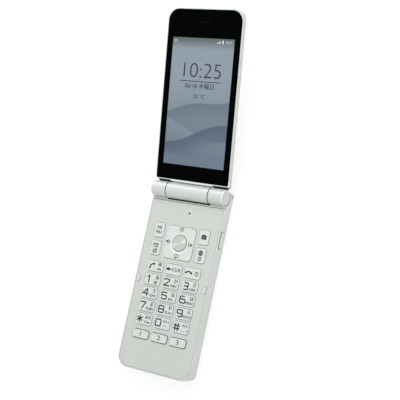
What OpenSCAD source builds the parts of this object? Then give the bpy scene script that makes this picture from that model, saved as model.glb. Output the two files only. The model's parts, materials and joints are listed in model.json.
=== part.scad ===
// Flip phone with a hinged lid, open and lying on the back of its base.
// X runs to the right, Y from the bottom end to the hinge, Z up out of the keys.
// The origin is the centre of the rear rest face of the base.

/* [Overall] */
// Width of the base and the lid
body_w = 51; // [49:0.5:56]
// Length of the base from its bottom end to its hinge end
base_len = 112.4; // [111:0.2:122]
// Thickness of the base
base_t = 10.2; // [10:0.1:12]
// Thickness of the lid
lid_t = 5.6; // [5.4:0.1:7]
// Gap between the key face and the lid when closed
close_gap = 1.1; // [1:0.05:1.6]
// Angle between the closed and the open lid
open_angle = 165.7; // [150:0.1:172]

/* [Outline] */
// Corner radius of base and lid at the ends away from the hinge
corner_r = 7.5; // [4:0.1:8]
// Corner radius of the base at its hinge end
hinge_corner_r = 2.2; // [1:0.1:3]
// Rounding of the base's rear edges
base_edge_r = 4.5; // [3:0.1:5]
// Rounding of the base's rear edge at the hinge end
hinge_edge_r = 3; // [1.5:0.1:3.2]
// Rounding of the base's front edges
face_edge_r = 0.7; // [0.3:0.1:1]
// Rounding of the lid's rear edges
lid_edge_r = 3.3; // [2.5:0.1:4]
// Rounding of the lid's rear edge at the hinge end
lid_root_edge_r = 2; // [1.2:0.1:2.5]
// Rounding of the lid's front edges
rim_edge_r = 0.4; // [0.2:0.05:0.6]
// Corner radius of the lid at its hinge end
lid_root_r = 1.5; // [1.2:0.1:2.5]

/* [Walls and seams] */
// Wall of the base's shells
case_wall = 1.1; // [0.9:0.05:1.3]
// Thickness of the front cover's key face
plate_t = 1.2; // [1:0.05:1.4]
// Height of the seam between rear case and front cover
seam_h = 5.2; // [5:0.1:5.6]
// Wall of the lid's rear cover
lid_wall = 1.1; // [0.9:0.05:1.3]
// Depth of the lid's front frame
frame_t = 2.2; // [2:0.05:2.4]
// Height of the groove along the seams
groove_h = 0.2; // [0.1:0.05:0.3]
// Depth of the groove along the seams
groove_d = 0.25; // [0.15:0.05:0.4]
// Drop of the face's own seam line below the key face
face_seam = 0.75; // [0.7:0.05:0.9]
// Gap between pieces that are fitted and do not move
fit_gap = 0.05; // [0.02:0.01:0.1]
// Gap between inner pieces that lie side by side
part_gap = 0.6; // [0.4:0.05:0.8]

/* [Hinge] */
// Distance of the hinge axis from the base's hinge end
hinge_setback = 4.2; // [4:0.1:4.4]
// Radius of the hinge barrels
barrel_r = 4.8; // [4.5:0.05:5]
// Length of the lid's centre barrel
barrel_len = 28.8; // [26:0.2:32]
// Distance of the end barrels' outer faces from the base's sides
hinge_inset = 0.6; // [0.5:0.05:2]
// Gap between centre barrel and end barrels
joint_gap = 0.4; // [0.2:0.05:0.5]
// Bevel of the end barrels, across the radius
cap_bevel = 0.55; // [0.3:0.05:1]
// Bevel of the end barrels, along the axis
cap_bevel_len = 0.8; // [0.5:0.1:1.5]
// Wall between the base's cavity and the trough of the hinge
hinge_wall = 2; // [1.6:0.1:2.4]
// Gap between the turning barrel and the base's trough
swing_gap = 0.75; // [0.35:0.05:0.9]
// Gap between the end barrels and the lid's hinge end
lid_root_gap = 0.55; // [0.4:0.05:0.8]
// Set-back of the lid's front frame over the end barrels
root_relief = 0.8; // [0.4:0.05:0.9]
// Reach of the rear cover's lip under the end barrels
lip_len = 0.9; // [0.5:0.05:1]
// Thickness of that lip
lip_t = 1.1; // [0.8:0.1:1.2]
// Bore of the barrels
barrel_bore_r = 3.5; // [3.2:0.05:3.6]
// Depth of the sockets in the end barrels
socket_depth = 7.3; // [6:0.1:8]
// Radius of the hinge shaft
shaft_r = 1.5; // [1.2:0.05:1.7]
// Half the side of the shaft's square end
drive_half = 1.65; // [1.3:0.05:1.8]
// Length of the shaft's round neck in the end barrel
neck_len = 2; // [1.5:0.1:3]
// Radial clearance of shaft and bush in their bores
running_gap = 0.05; // [0.02:0.01:0.09]
// Length of the shaft and the bush inside the centre barrel
pivot_reach = 9; // [7:0.2:11]
// Play behind the shaft's inner end
shaft_play = 0.2; // [0.1:0.05:0.4]
// Back wall of the hinge unit
unit_wall = 2.2; // [1.5:0.1:3]
// Wall of the pivot bush
bush_wall = 1.1; // [0.8:0.1:1.4]
// Wall of the rolled connector inside the bush
flex_wall = 0.5; // [0.3:0.05:0.6]
// Gap round the rolled connector
flex_gap = 0.15; // [0.1:0.01:0.2]
// Reach of the rolled connector past the bush
flex_reach = 1; // [0.5:0.1:2]
// Strip of the base between the face's step and the barrels
ledge_w = 1.8; // [1.4:0.1:2.4]
// Drop of that strip below the key face
ledge_drop = 0.5; // [0.3:0.05:0.6]
// Width of the groove along the face's step
step_groove_w = 0.3; // [0.2:0.05:0.5]
// Depth of that groove below the strip
step_groove_d = 0.35; // [0.2:0.05:0.5]
// Distance of the base's cross seam from the hinge axis
cross_seam = 3.6; // [3.2:0.1:4]
// Drop of the cradles' rear edge below the hinge axis
cradle_drop = 3; // [2.6:0.1:3.4]
// Set-in of the lid's tongue from the ends of the centre barrel
tongue_side = 0.6; // [0.3:0.1:2]
// Length of that tongue from the hinge axis
tongue_len = 11.6; // [9:0.2:12.4]
// Thickness of that tongue
tongue_t = 1.9; // [1.6:0.1:2]

/* [Keys] */
// Sideways pitch of the key columns
key_pitch_x = 12.9; // [12.6:0.1:13.6]
// Pitch of the key rows
key_pitch_y = 8; // [7.9:0.05:8.3]
// Space between the keys of a row
column_space = 2.1; // [1.6:0.1:2.6]
// Space between the rows of digit keys
row_space = 1.4; // [1.3:0.05:1.8]
// Height of the first digit row above the bottom end
digit_y = 53.6; // [53.2:0.1:53.9]
// Height of the call, clear and end keys
call_h = 6.3; // [5.6:0.05:6.6]
// Step from the last digit row to the one-touch row
quick_step = 8.8; // [8.4:0.1:9.4]
// Height of the one-touch keys
quick_h = 4.8; // [4:0.1:5.4]
// Space between the call row and the direction pad
pad_space = 3.05; // [2.85:0.05:4]
// Side of the direction pad
pad_size = 19.6; // [18.6:0.1:20.6]
// Corner radius of the direction pad
pad_corner_r = 2.4; // [1.5:0.1:4]
// Radius of the select key
select_r = 4.9; // [4.6:0.05:5.6]
// Crown of the select key
select_crown = 0.25; // [0.15:0.05:0.35]
// Depth of the dished ring round the select key
dish_d = 0.35; // [0.2:0.05:0.4]
// Width of the dished ring round the select key
dish_w = 1.3; // [0.6:0.05:1.5]
// Space between the direction pad and the function keys
function_space = 2.4; // [2.2:0.1:3]
// Pitch of the two function keys of a side
function_pitch = 10.9; // [10.4:0.1:11.4]
// Shift of the function keys from the pad's middle towards the hinge
function_shift = 0.4; // [0:0.1:1]
// Width of the function keys
function_w = 6.8; // [6:0.1:7]
// Height of the function keys
function_h = 8.8; // [8:0.1:9]
// Corner radius of the keys
key_corner_r = 1.3; // [0.6:0.1:1.4]
// Rounding of the keys' top edges
key_edge_r = 0.3; // [0.15:0.05:0.4]
// Rise of the flat keys above the face
key_rise = 0.4; // [0.3:0.05:0.5]
// Rise of the direction pad
pad_rise = 0.5; // [0.4:0.05:0.55]
// Rise of the select key and the one-touch keys
tall_rise = 0.7; // [0.5:0.05:0.75]
// Travel of a key
key_travel = 0.35; // [0.25:0.01:0.4]
// Gap round a key in its opening
key_gap = 0.2; // [0.15:0.01:0.25]
// Gap round a one-touch key in its opening
quick_gap = 0.4; // [0.2:0.01:0.45]
// Width of the flange that keeps a key behind the cover
flange_w = 0.4; // [0.3:0.05:0.45]
// Thickness of that flange
flange_t = 0.5; // [0.4:0.05:0.6]
// Gap between flange and cover
flange_gap = 0.15; // [0.1:0.01:0.2]
// Gap under a pressed key
press_gap = 0.05; // [0.03:0.01:0.08]

/* [Rocker of the direction pad] */
// Thickness of the rocker plate
rocker_t = 0.35; // [0.25:0.05:0.4]
// Lift of the rocker plate above the key mat
rocker_lift = 0.3; // [0.25:0.05:0.35]
// Lift of the pad above the rocker plate
pad_lift = 0.6; // [0.4:0.05:0.7]
// Margin of the rocker plate round the pad's opening
rocker_margin = 0.3; // [0.2:0.05:0.4]
// Dip of the key mat under the rocker plate
rocker_dip = 0.3; // [0.25:0.05:0.35]
// Room round the rocker plate in that dip
rocker_room = 0.5; // [0.3:0.1:0.6]
// Radius of the studs on which pad and plate tilt
stud_r = 0.8; // [0.6:0.1:1]
// Distance of the studs from the pad's edges
stud_inset = 1.6; // [1.2:0.1:2]
// Set-in of the mat's post under the select key
post_inset = 0.4; // [0.2:0.1:0.8]

/* [Side key] */
// Distance of the side key's middle from the hinge axis
side_key_back = 24.7; // [20:0.1:28]
// Length of the side key
side_key_len = 10; // [8:0.1:12]
// Width of the side key
side_key_w = 2.8; // [2.2:0.1:2.9]
// Drop of the side key's middle below the key face
side_key_drop = 2.8; // [2.7:0.05:3.2]
// Rise of the side key out of the wall
side_key_rise = 0.5; // [0.3:0.05:0.6]
// Rounding of the side key's outer edges
side_edge_r = 0.3; // [0.15:0.05:0.4]
// Length of the switch behind the side key
switch_len = 5; // [4:0.1:6]
// Height of that switch above the board
switch_h = 2; // [1.6:0.1:2.2]
// Lap of that switch over the board
switch_lap = 1.4; // [1:0.1:2]

/* [Screen] */
// Rim of the lid round the glass
glass_rim = 0.62; // [0.56:0.02:1.2]
// Distance of the glass from the lid's hinge end
glass_root = 1.3; // [1:0.05:2]
// Corner radius of the glass at its hinge end
glass_root_r = 1; // [0.6:0.1:2]
// Thickness of the glass
glass_t = 0.6; // [0.5:0.05:0.7]
// Distance of the lit area from the lid's sides
screen_side = 4.35; // [4:0.05:5.5]
// Distance of the lit area from the hinge axis
screen_y = 15.8; // [15.4:0.1:17.6]
// Distance of the lit area from the lid's far end
screen_head = 17.2; // [16.4:0.1:20]
// Border of the screen module at sides and top
screen_border = 1.2; // [0.8:0.1:1.4]
// Border of the screen module at its connector side
screen_foot = 2.4; // [1.6:0.1:2.6]
// Thickness of the screen module
screen_t = 1.6; // [1.4:0.05:1.7]
// Width of the ear slot
ear_w = 8; // [6:0.5:10]
// Height of the ear slot
ear_h = 0.9; // [0.6:0.05:1.2]

/* [Lid parts] */
// Radius of the camera's trim ring
camera_ring_r = 4.9; // [4.4:0.1:5.4]
// Radius of the camera's window
camera_window_r = 3.5; // [3:0.1:3.8]
// Width of the camera's trim ring ledge under the window
camera_ledge = 0.6; // [0.4:0.05:0.8]
// Rise of the ring above the lid's back
camera_ring_rise = 0.3; // [0.2:0.05:0.5]
// Distance of the camera from the hinge axis
camera_y = 26; // [22:0.5:30]
// Side of the camera module
camera_size = 8.4; // [7.6:0.1:9.4]
// Gap above and below the camera module
camera_gap = 0.2; // [0.1:0.05:0.3]
// Radius of the light window
flash_r = 1.6; // [1.2:0.1:2]
// Distance of the light window from the camera
flash_x = 9; // [8.2:0.1:11]
// Width of the outer display's window
sub_w = 25; // [20:0.5:30]
// Height of the outer display's window
sub_h = 9; // [7:0.5:11]
// Corner radius of the outer display's window
sub_r = 2; // [1:0.1:3]
// Thickness of the outer display's window
sub_t = 0.5; // [0.4:0.05:0.6]
// Ledge under the outer display's window
sub_ledge = 1.2; // [0.8:0.1:1.6]
// Thickness of the outer display's panel
sub_panel_t = 0.95; // [0.7:0.05:1.2]
// Distance of the outer display from the hinge axis
sub_y = 46; // [42:0.5:60]
// Width of the receiver
receiver_w = 15; // [12:0.5:18]
// Height of the receiver
receiver_h = 6; // [5:0.1:7]
// Depth of the receiver behind the front frame
receiver_depth = 0.5; // [0.3:0.05:1]
// Distance of the receiver from the lid's far end
receiver_inset = 8; // [7.5:0.1:8.5]
// Corner radius of the modules inside base and lid
module_r = 0.8; // [0.5:0.1:1]
// Distance of the lid screws from the lid's sides
lid_screw_inset = 6; // [5.5:0.1:7.5]
// Height of the pads that carry the lid screws
lid_pad_h = 0.8; // [0.6:0.05:1]
// Depth of the lid screws below the lid's back
lid_screw_sink = 0.35; // [0.2:0.05:0.5]
// Bite of the lid screws in the front frame
lid_screw_bite = 0.8; // [0.5:0.05:0.9]

/* [Battery] */
// Width of the battery
battery_w = 38; // [34:0.5:39]
// Length of the battery
battery_len = 52; // [46:0.5:53]
// Wall of the battery well
well_wall = 0.8; // [0.6:0.05:1]
// Floor of the battery well
well_floor_t = 0.4; // [0.3:0.05:0.6]
// Gap between the battery well and the board
well_gap = 0.25; // [0.15:0.05:0.4]
// Gap round the battery and its cover
battery_gap = 0.15; // [0.1:0.01:0.2]
// Lap of the battery cover beyond the battery at its sides
cover_lap_x = 1.5; // [1.3:0.05:1.8]
// Lap of the battery cover beyond the battery at its ends
cover_lap_y = 5; // [3:0.1:6]
// Thickness of the battery cover
cover_t = 0.9; // [0.8:0.05:0.95]
// Thickness of the ledge that the battery cover lies on
cover_ledge_t = 0.7; // [0.5:0.05:0.9]
// Corner radius of the battery cover
cover_r = 4; // [2:0.5:6]
// Radius of the finger notch at the battery cover's end
notch_r = 3; // [2:0.1:4]
// Depth of that notch
notch_d = 0.6; // [0.4:0.05:0.8]
// Width of the battery's contacts
contact_w = 2; // [1.5:0.1:2.4]
// Pitch of the battery's contacts
contact_pitch = 3; // [2.6:0.1:4]
// Depth of the battery's contacts
contact_d = 0.4; // [0.2:0.05:0.6]
// Distance of the contacts from the battery's faces
contact_edge = 1; // [0.8:0.1:1.4]

/* [Board and key mat] */
// Thickness of the key mat
mat_t = 0.5; // [0.4:0.05:0.55]
// Margin of mat and dome sheet round the keys
mat_margin = 0.6; // [0.3:0.1:1]
// Height of the contact domes
dome_h = 0.25; // [0.2:0.01:0.28]
// Radius of the contact domes
dome_r = 2; // [1.5:0.1:2.2]
// Thickness of the dome sheet
sheet_t = 0.15; // [0.1:0.01:0.18]
// Thickness of the main board
board_t = 0.8; // [0.6:0.05:0.85]
// Distance of the main board from the base's sides
board_side = 4; // [3.5:0.1:4.5]
// Distance of the main board from the base's end walls
board_edge = 1.5; // [1:0.1:2]
// Width of the board's shield cans
can_w = 16; // [12:0.5:18]
// Length of the lower shield can
can_len = 7.2; // [6:0.1:8]
// Length of the upper shield can
top_can_len = 10; // [8:0.1:11]
// Height of the shield cans
can_t = 1.4; // [1:0.05:1.5]
// Distance of the lower can and the loudspeaker from the middle
side_x = 9; // [8.6:0.1:10]

/* [Sound and motor] */
// Distance of loudspeaker and motor from the hinge axis
sound_back = 19; // [18:0.1:20]
// Width of the loudspeaker
speaker_w = 16; // [13:0.5:17]
// Length of the loudspeaker
speaker_len = 10; // [8:0.1:11]
// Height of the loudspeaker's frame
speaker_t = 2.35; // [2:0.05:2.6]
// Step of the loudspeaker's frame round its magnet
speaker_step = 2; // [1.5:0.1:2.5]
// Height of the loudspeaker's magnet
magnet_t = 0.6; // [0.4:0.05:0.8]
// Width of a sound slot
slot_w = 0.9; // [0.6:0.05:1.2]
// Length of a sound slot
slot_len = 6; // [4:0.1:7]
// Pitch of the sound slots
slot_pitch = 2; // [1.6:0.1:2.4]
// Number of sound slots
slot_count = 5; // [3:2:7]
// Radius of the vibration motor
motor_r = 2; // [1.6:0.05:2]
// Length of the vibration motor
motor_len = 7; // [6:0.1:8]
// Distance of the motor from the middle
motor_x = 11; // [10:0.1:12]
// Radius of the motor's shaft
motor_shaft_r = 0.4; // [0.3:0.05:0.5]
// Gap between motor and weight
weight_gap = 0.4; // [0.3:0.05:0.6]
// Length of the motor's weight
weight_len = 2.6; // [2:0.1:3]
// Radius of the microphone
mic_r = 1.9; // [1.5:0.1:2.2]
// Height of the microphone
mic_t = 1.4; // [1:0.05:1.5]
// Distance of the microphone from the bottom end
mic_y = 4.7; // [4.4:0.1:5.4]
// Radius of the microphone's hole
mic_hole_r = 0.5; // [0.3:0.05:0.6]
// Drop of the microphone's hole below the board
mic_hole_drop = 2.2; // [1.8:0.1:2.6]
// Radius of the sensor's pinhole
pinhole_r = 0.45; // [0.3:0.05:0.6]
// Distance of the pinhole from the middle
pinhole_x = 2.4; // [0:0.1:8]
// Distance of the pinhole from the hinge axis
pinhole_back = 12.2; // [10:0.1:14]

/* [Port, screws and stops] */
// Width of the port's mouth
port_w = 8.4; // [8:0.1:9]
// Height of the port's mouth
port_h = 2.6; // [2.4:0.05:2.7]
// Depth of the port
port_depth = 6.2; // [5:0.1:6.6]
// Wall of the port's shell
port_wall = 0.3; // [0.2:0.05:0.35]
// Set-back of the port's mouth
port_set = 0.6; // [0.3:0.05:0.8]
// Gap between the port and the board
port_gap = 0.3; // [0.2:0.05:0.5]
// Thickness of the port's tongue
port_tongue_t = 0.7; // [0.5:0.05:0.8]
// Space beside and before the port's tongue
port_tongue_gap = 0.95; // [0.8:0.05:1.2]
// Distance of the case screws from the base's sides
screw_inset = 8.3; // [7.9:0.1:9.5]
// Radius of the screw heads
screw_head_r = 1.6; // [1.3:0.05:1.7]
// Height of the screw heads
screw_head_t = 0.8; // [0.6:0.05:0.9]
// Depth of the case screws below the rear face
screw_sink = 0.5; // [0.3:0.05:0.7]
// Radius of the screw shanks
screw_r = 0.7; // [0.6:0.05:0.75]
// Bite of the case screws in the front cover
screw_bite = 2.2; // [1.6:0.1:2.3]
// Wall of the screw bosses
boss_wall = 1; // [0.8:0.05:1.1]
// Drop of the rear case's screw columns below the seam
column_drop = 1; // [0.6:0.1:1.4]
// Width of the strap hole
strap_w = 1.7; // [1.3:0.1:1.8]
// Height of the strap hole
strap_h = 1.8; // [1.4:0.1:1.9]
// Roof between the strap hole and the end barrel
strap_roof = 0.7; // [0.5:0.05:1]
// Post between the strap hole and the base's side
strap_post_x = 2.9; // [2.4:0.1:3.4]
// Post between the strap hole and the base's hinge end
strap_post_y = 1.6; // [1.3:0.1:2]
// Length of a lid stop
stop_len = 4.3; // [3.4:0.1:5]
// Width of a lid stop
stop_w = 1.9; // [1.5:0.1:2.1]
// Height of the lid stops' middle above the bottom end
stop_y = 53.5; // [50:0.5:58]
// Rise of a lid stop
stop_rise = 0.5; // [0.3:0.05:0.55]

/* [Hidden] */
$fn = 64;

DIGIT_KEYS = ["key_1", "key_2", "key_3", "key_4", "key_5", "key_6",
    "key_7", "key_8", "key_9", "key_star", "key_0", "key_hash"];
CALL_KEYS = ["key_call", "key_clear", "key_end"];
QUICK_KEYS = ["quick_key_1", "quick_key_2", "quick_key_3"];
FUNCTION_KEYS = ["key_menu", "key_mail", "key_camera", "key_web"];

// Colours
SHELL = [0.80, 0.83, 0.80];
BRIGHT = [0.88, 0.89, 0.88];
KEY = [0.85, 0.87, 0.84];
BLACK = [0.04, 0.04, 0.05];
METAL = [0.62, 0.63, 0.65];
BOARD = [0.10, 0.30, 0.20];
RUBBER = [0.35, 0.36, 0.37];
GOLD = [0.78, 0.65, 0.35];

// Reach of cuts: far runs past the whole phone, over past one face
far = 2 * base_len;
over = case_wall;

// Least corner radius of a form that is drawn in
least_r = 0.4;

// Base: outer places
half_w = body_w / 2;
bottom_y = -base_len / 2;
hinge_end_y = base_len / 2;
axis_y = hinge_end_y - hinge_setback;
axis_z = base_t + close_gap / 2;
lid_end = axis_y - bottom_y;

// Base: levels from the key face down to the battery
plate_z = base_t - plate_t;
flange_top = plate_z - flange_gap;
key_bottom = flange_top - flange_t;
mat_top = key_bottom - key_travel - press_gap;
mat_z = mat_top - mat_t;
dome_top = mat_z - press_gap;
sheet_top = dome_top - dome_h;
board_top = sheet_top - sheet_t;
board_z = board_top - board_t;
well_top = board_z - well_gap;
well_ceiling = well_top - well_floor_t;
battery_z = cover_t + fit_gap + battery_gap;
battery_top = well_ceiling - battery_gap;
port_z = board_z - port_gap - port_wall - port_h / 2;
side_key_z = base_t - side_key_drop;

// Base: hinge end
trough_r = barrel_r + swing_gap;
cradle_r = barrel_r + fit_gap;
cap_x = barrel_len / 2 + joint_gap;
cap_end = half_w - hinge_inset;
step_y = axis_y - barrel_r - ledge_w;
split_y = axis_y - cross_seam;
cavity_end = axis_y - trough_r - hinge_wall;
cradle_z = axis_z - cradle_drop;
drive_x = cap_x + neck_len;

// Lid, in its own frame: the hinge axis is the origin, Y runs along the lid, Z out of the glass
lid_front = -close_gap / 2;
lid_rear = lid_front - lid_t;
frame_back = lid_front - frame_t;
lid_root = barrel_r + lid_root_gap;
glass_top = lid_front - fit_gap;
glass_back = glass_top - glass_t;
screen_top = glass_back - fit_gap;
screen_back = screen_top - screen_t;
cover_inside = lid_rear + lid_wall;
glass_end = lid_end - glass_rim;
glass_half = half_w - glass_rim;
module_half = half_w - screen_side + screen_border;
module_y = screen_y - screen_foot;
module_end = lid_end - screen_head + screen_border;
receiver_y = lid_end - receiver_inset;
sub_open_w = sub_w - 2 * sub_ledge;
sub_open_h = sub_h - 2 * sub_ledge;

// Screws, their bosses and columns
bore_r = screw_r + fit_gap;
head_bore_r = screw_head_r + fit_gap;
boss_r = bore_r + boss_wall;
column_r = head_bore_r + boss_wall;
column_top = seam_h - column_drop;
screw_x = half_w - screw_inset;
screw_low = base_edge_r + column_r;
screw_tip = seam_h + screw_bite;
low_screws = [for (sx = [-1, 1]) [sx * screw_x, bottom_y + screw_low]];
top_screws = [for (sx = [-1, 1]) [sx * screw_x, (cavity_end + split_y) / 2]];
screw_spots = concat(low_screws, top_screws);
lid_screw_y = module_y - boss_r - part_gap;
lid_screw_spots = [for (sx = [-1, 1]) [sx * (half_w - lid_screw_inset), lid_screw_y]];

// Battery: the well starts past the lower shield can
board_y = screw_low + column_r + part_gap;
well_y = board_y + can_len + part_gap;
well_margin = battery_gap + well_wall;
battery_y = well_y + well_margin + battery_len / 2;
cover_w = battery_w + 2 * cover_lap_x;
cover_len = battery_len + 2 * cover_lap_y;
sound_y = lid_end - sound_back;

// Places of the keys above the bottom end
digit_w = key_pitch_x - column_space;
digit_h = key_pitch_y - row_space;
call_y = digit_y + key_pitch_y;
quick_y = digit_y - 3 * key_pitch_y - quick_step;
pad_y = call_y + call_h / 2 + pad_space + pad_size / 2;
function_x = pad_size / 2 + function_space + function_w / 2;
function_y = pad_y + function_shift;
side_key_y = lid_end - side_key_back;

// Keys: name, place from the middle and the bottom end, width, height, rise, gap in the opening
function row_of(names, y, w, h, rise, gap) =
    [for (i = [0 : 2]) [names[i], (i - 1) * key_pitch_x, y, w, h, rise, gap]];
DIGIT_PAD = [for (i = [0 : 11])
    [DIGIT_KEYS[i], (i % 3 - 1) * key_pitch_x, digit_y - floor(i / 3) * key_pitch_y,
        digit_w, digit_h, key_rise, key_gap]];
FUNCTION_PAD = [for (i = [0 : 3])
    [FUNCTION_KEYS[i], (i < 2 ? -1 : 1) * function_x,
        function_y + (i % 2 == 0 ? 0.5 : -0.5) * function_pitch,
        function_w, function_h, key_rise, key_gap]];
KEYS = concat(DIGIT_PAD,
    row_of(CALL_KEYS, call_y, digit_w, call_h, key_rise, key_gap),
    row_of(QUICK_KEYS, quick_y, digit_w, quick_h, tall_rise, quick_gap),
    FUNCTION_PAD);

// Extent of the key mat and the dome sheet
mat_half = function_x + function_w / 2 + flange_w + mat_margin;
mat_low = quick_y - quick_h / 2 - flange_w - mat_margin;
mat_high = function_y + (function_pitch + function_h) / 2 + flange_w + mat_margin;

// Direction pad: levels of the pad and of its rocker plate
rocker_z = mat_top + rocker_lift;
rocker_top = rocker_z + rocker_t;
pad_bottom = rocker_top + pad_lift;
pad_open = pad_size + 2 * key_gap;
rocker_size = pad_open + 2 * rocker_margin;
select_gap_r = select_r + key_gap;
stud_place = pad_size / 2 - stud_inset;

// Rectangle from corner a to corner b with four corner radii, counter-clockwise from a
module rounded(a, b, r) {
    corner = [a, [b.x, a.y], b, [a.x, b.y]];
    inward = [[1, 1], [-1, 1], [-1, -1], [1, -1]];
    along = [for (i = [0 : 3]) [r[i] * inward[i].x, 0]];
    up = [for (i = [0 : 3]) [0, r[i] * inward[i].y]];
    polygon([for (i = [0 : 3]) each r[i] == 0 ? [corner[i]]
        : i % 2 == 0 ? [corner[i] + up[i], corner[i] + along[i]]
        : [corner[i] + along[i], corner[i] + up[i]]]);
    for (i = [0 : 3])
        if (r[i] > 0)
            translate(corner[i] + along[i] + up[i])
                circle(r[i]);
}

// Rectangle of width w and height h about its middle, one radius at all corners
module panel(w, h, r) {
    rounded([-w / 2, -h / 2], [w / 2, h / 2], [r, r, r, r]);
}

// Slot of width w and height h with round ends
module stadium(w, h) {
    square([w - h, h], center = true);
    for (sx = [-1, 1])
        translate([sx * (w - h) / 2, 0])
            circle(h / 2);
}

// Upright block with the outline of panel
module slab(w, h, r, z0, z1) {
    translate([0, 0, z0])
        linear_extrude(z1 - z0)
            panel(w, h, r);
}

// Profile drawn in X and Z, carried along Y
module along_y(y0, y1) {
    translate([0, y1, 0])
        rotate([90, 0, 0])
            linear_extrude(y1 - y0)
                children();
}

// Profile drawn in Y and Z, carried along X
module along_x(x0, x1) {
    translate([x0, 0, 0])
        rotate([90, 0, 90])
            linear_extrude(x1 - x0)
                children();
}

// Cylinder along X between x0 and x1
module rod_x(r, x0, x1) {
    translate([x0, 0, 0])
        rotate([0, 90, 0])
            cylinder(r = r, h = x1 - x0);
}

// Upright cylinder between z0 and z1
module post(r, z0, z1) {
    translate([0, 0, z0])
        cylinder(r = r, h = z1 - z0);
}

// Box between two corners
module block(a, b) {
    translate(a)
        cube(b - a);
}

// Moves to a height above the bottom end, on the key face's middle line
module at(x, y) {
    translate([x, bottom_y + y, 0])
        children();
}

// Puts copies at several places in plan
module each_at(spots) {
    for (s = spots)
        translate([s.x, s.y, 0])
            children();
}

// Moves from the lid's own frame to the open lid
module on_lid() {
    translate([0, axis_y, axis_z])
        rotate([180 - open_angle, 0, 0])
            children();
}

// Moves to the hinge axis
module on_axis() {
    translate([0, axis_y, axis_z])
        children();
}

// Radius r drawn in by inset, down to the least one
function drawn_in(r, inset) = max(r - inset, least_r);

// Whole outer form of the base, drawn in by inset
module base_form(inset = 0) {
    half = half_w - inset;
    y0 = bottom_y + inset;
    y1 = hinge_end_y - inset;
    plan_r = drawn_in(corner_r, inset);
    end_r = drawn_in(hinge_corner_r, inset);
    rear_r = drawn_in(base_edge_r, inset);
    hinge_r = drawn_in(hinge_edge_r, inset);
    intersection() {
        linear_extrude(base_t)
            rounded([-half, y0], [half, y1], [plan_r, plan_r, end_r, end_r]);
        along_y(y0, y1)
            rounded([-half, inset], [half, base_t], [rear_r, rear_r, face_edge_r, face_edge_r]);
        along_x(-half, half)
            rounded([y0, inset], [y1, base_t], [rear_r, hinge_r, 0, face_edge_r]);
    }
}

// Whole outer form of the lid in its own frame, drawn in by inset
module lid_form(inset = 0) {
    half = half_w - inset;
    y0 = lid_root + inset;
    y1 = lid_end - inset;
    plan_r = drawn_in(corner_r, inset);
    root_r = drawn_in(lid_root_r, inset);
    rear_r = drawn_in(lid_edge_r, inset);
    root_edge = drawn_in(lid_root_edge_r, inset);
    rear = lid_rear + inset;
    intersection() {
        translate([0, 0, rear])
            linear_extrude(lid_front - rear)
                rounded([-half, y0], [half, y1], [root_r, root_r, plan_r, plan_r]);
        along_y(y0, y1)
            rounded([-half, rear], [half, lid_front], [rear_r, rear_r, rim_edge_r, rim_edge_r]);
        along_x(-half, half)
            rounded([y0, rear], [y1, lid_front], [root_edge, rear_r, rim_edge_r, rim_edge_r]);
    }
}

// Groove round the base whose upper edge lies at z1
module base_groove(z1) {
    difference() {
        block([-far, -far, z1 - groove_h], [far, split_y, z1]);
        base_form(groove_d);
    }
}

// Groove round the lid behind its front frame
module lid_groove() {
    difference() {
        block([-far, -far, frame_back - groove_h], [far, far, frame_back]);
        lid_form(groove_d);
    }
}

// Key cap with rounded top edges, from z0 up to z1
module cap(w, h, r, edge, z0, z1) {
    intersection() {
        slab(w, h, r, z0, z1);
        along_y(-h / 2, h / 2)
            rounded([-w / 2, z0], [w / 2, z1], [0, 0, edge, edge]);
        along_x(-w / 2, w / 2)
            rounded([-h / 2, z0], [h / 2, z1], [0, 0, edge, edge]);
    }
}

// Straight key with the flange that holds it behind the cover
module push_key(k) {
    reach = flange_w + k[6] - key_gap;
    color(KEY)
        at(k[1], k[2]) {
            cap(k[3], k[4], key_corner_r, key_edge_r, key_bottom, base_t + k[5]);
            slab(k[3] + 2 * reach, k[4] + 2 * reach, key_corner_r, key_bottom, flange_top);
        }
}

// Openings in the cover for all face keys
module key_openings() {
    z0 = plate_z - over;
    z1 = base_t + over;
    for (k = KEYS)
        at(k[1], k[2])
            slab(k[3] + 2 * k[6], k[4] + 2 * k[6], key_corner_r + k[6], z0, z1);
    at(0, pad_y)
        slab(pad_open, pad_open, pad_corner_r + key_gap, z0, z1);
}

// Outline of the side key, grown by extra, between x0 and x1
module side_key_form(extra, x0, x1) {
    at(0, side_key_y)
        translate([0, 0, side_key_z])
            along_x(x0, x1)
                stadium(side_key_len + 2 * extra, side_key_w + 2 * extra);
}

// Outline of the port, grown by extra, between y0 and y1
module port_form(extra, y0, y1) {
    translate([0, 0, port_z])
        along_y(y0, y1)
            stadium(port_w + 2 * extra, port_h + 2 * extra);
}

// Screw with its head at z0 and its tip at z1
module screw(z0, z1) {
    post(screw_head_r, z0, z0 + screw_head_t);
    post(screw_r, z0 + screw_head_t, z1);
}

// Everything that the hinge barrels take out of the base
module hinge_room() {
    on_axis() {
        rod_x(trough_r, -cap_x, cap_x);
        block([-cap_x, 0, -trough_r], [cap_x, far, far]);
        rod_x(cradle_r, -far, -cap_x);
        rod_x(cradle_r, cap_x, far);
    }
}

// Tunnel for a strap round the corner post of the base
module strap_tunnel() {
    x = half_w - strap_post_x - strap_w;
    y = hinge_end_y - strap_post_y - strap_w;
    z = axis_z - cradle_r - strap_roof - strap_h;
    block([x, y, z], [far, y + strap_w, z + strap_h]);
    block([x, y, z], [x + strap_w, far, z + strap_h]);
}

// Puts copies at the two places of the lid stops
module at_stops() {
    for (sx = [-1, 1])
        at(sx * (half_w - face_edge_r - stop_w), stop_y)
            children();
}

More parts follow.
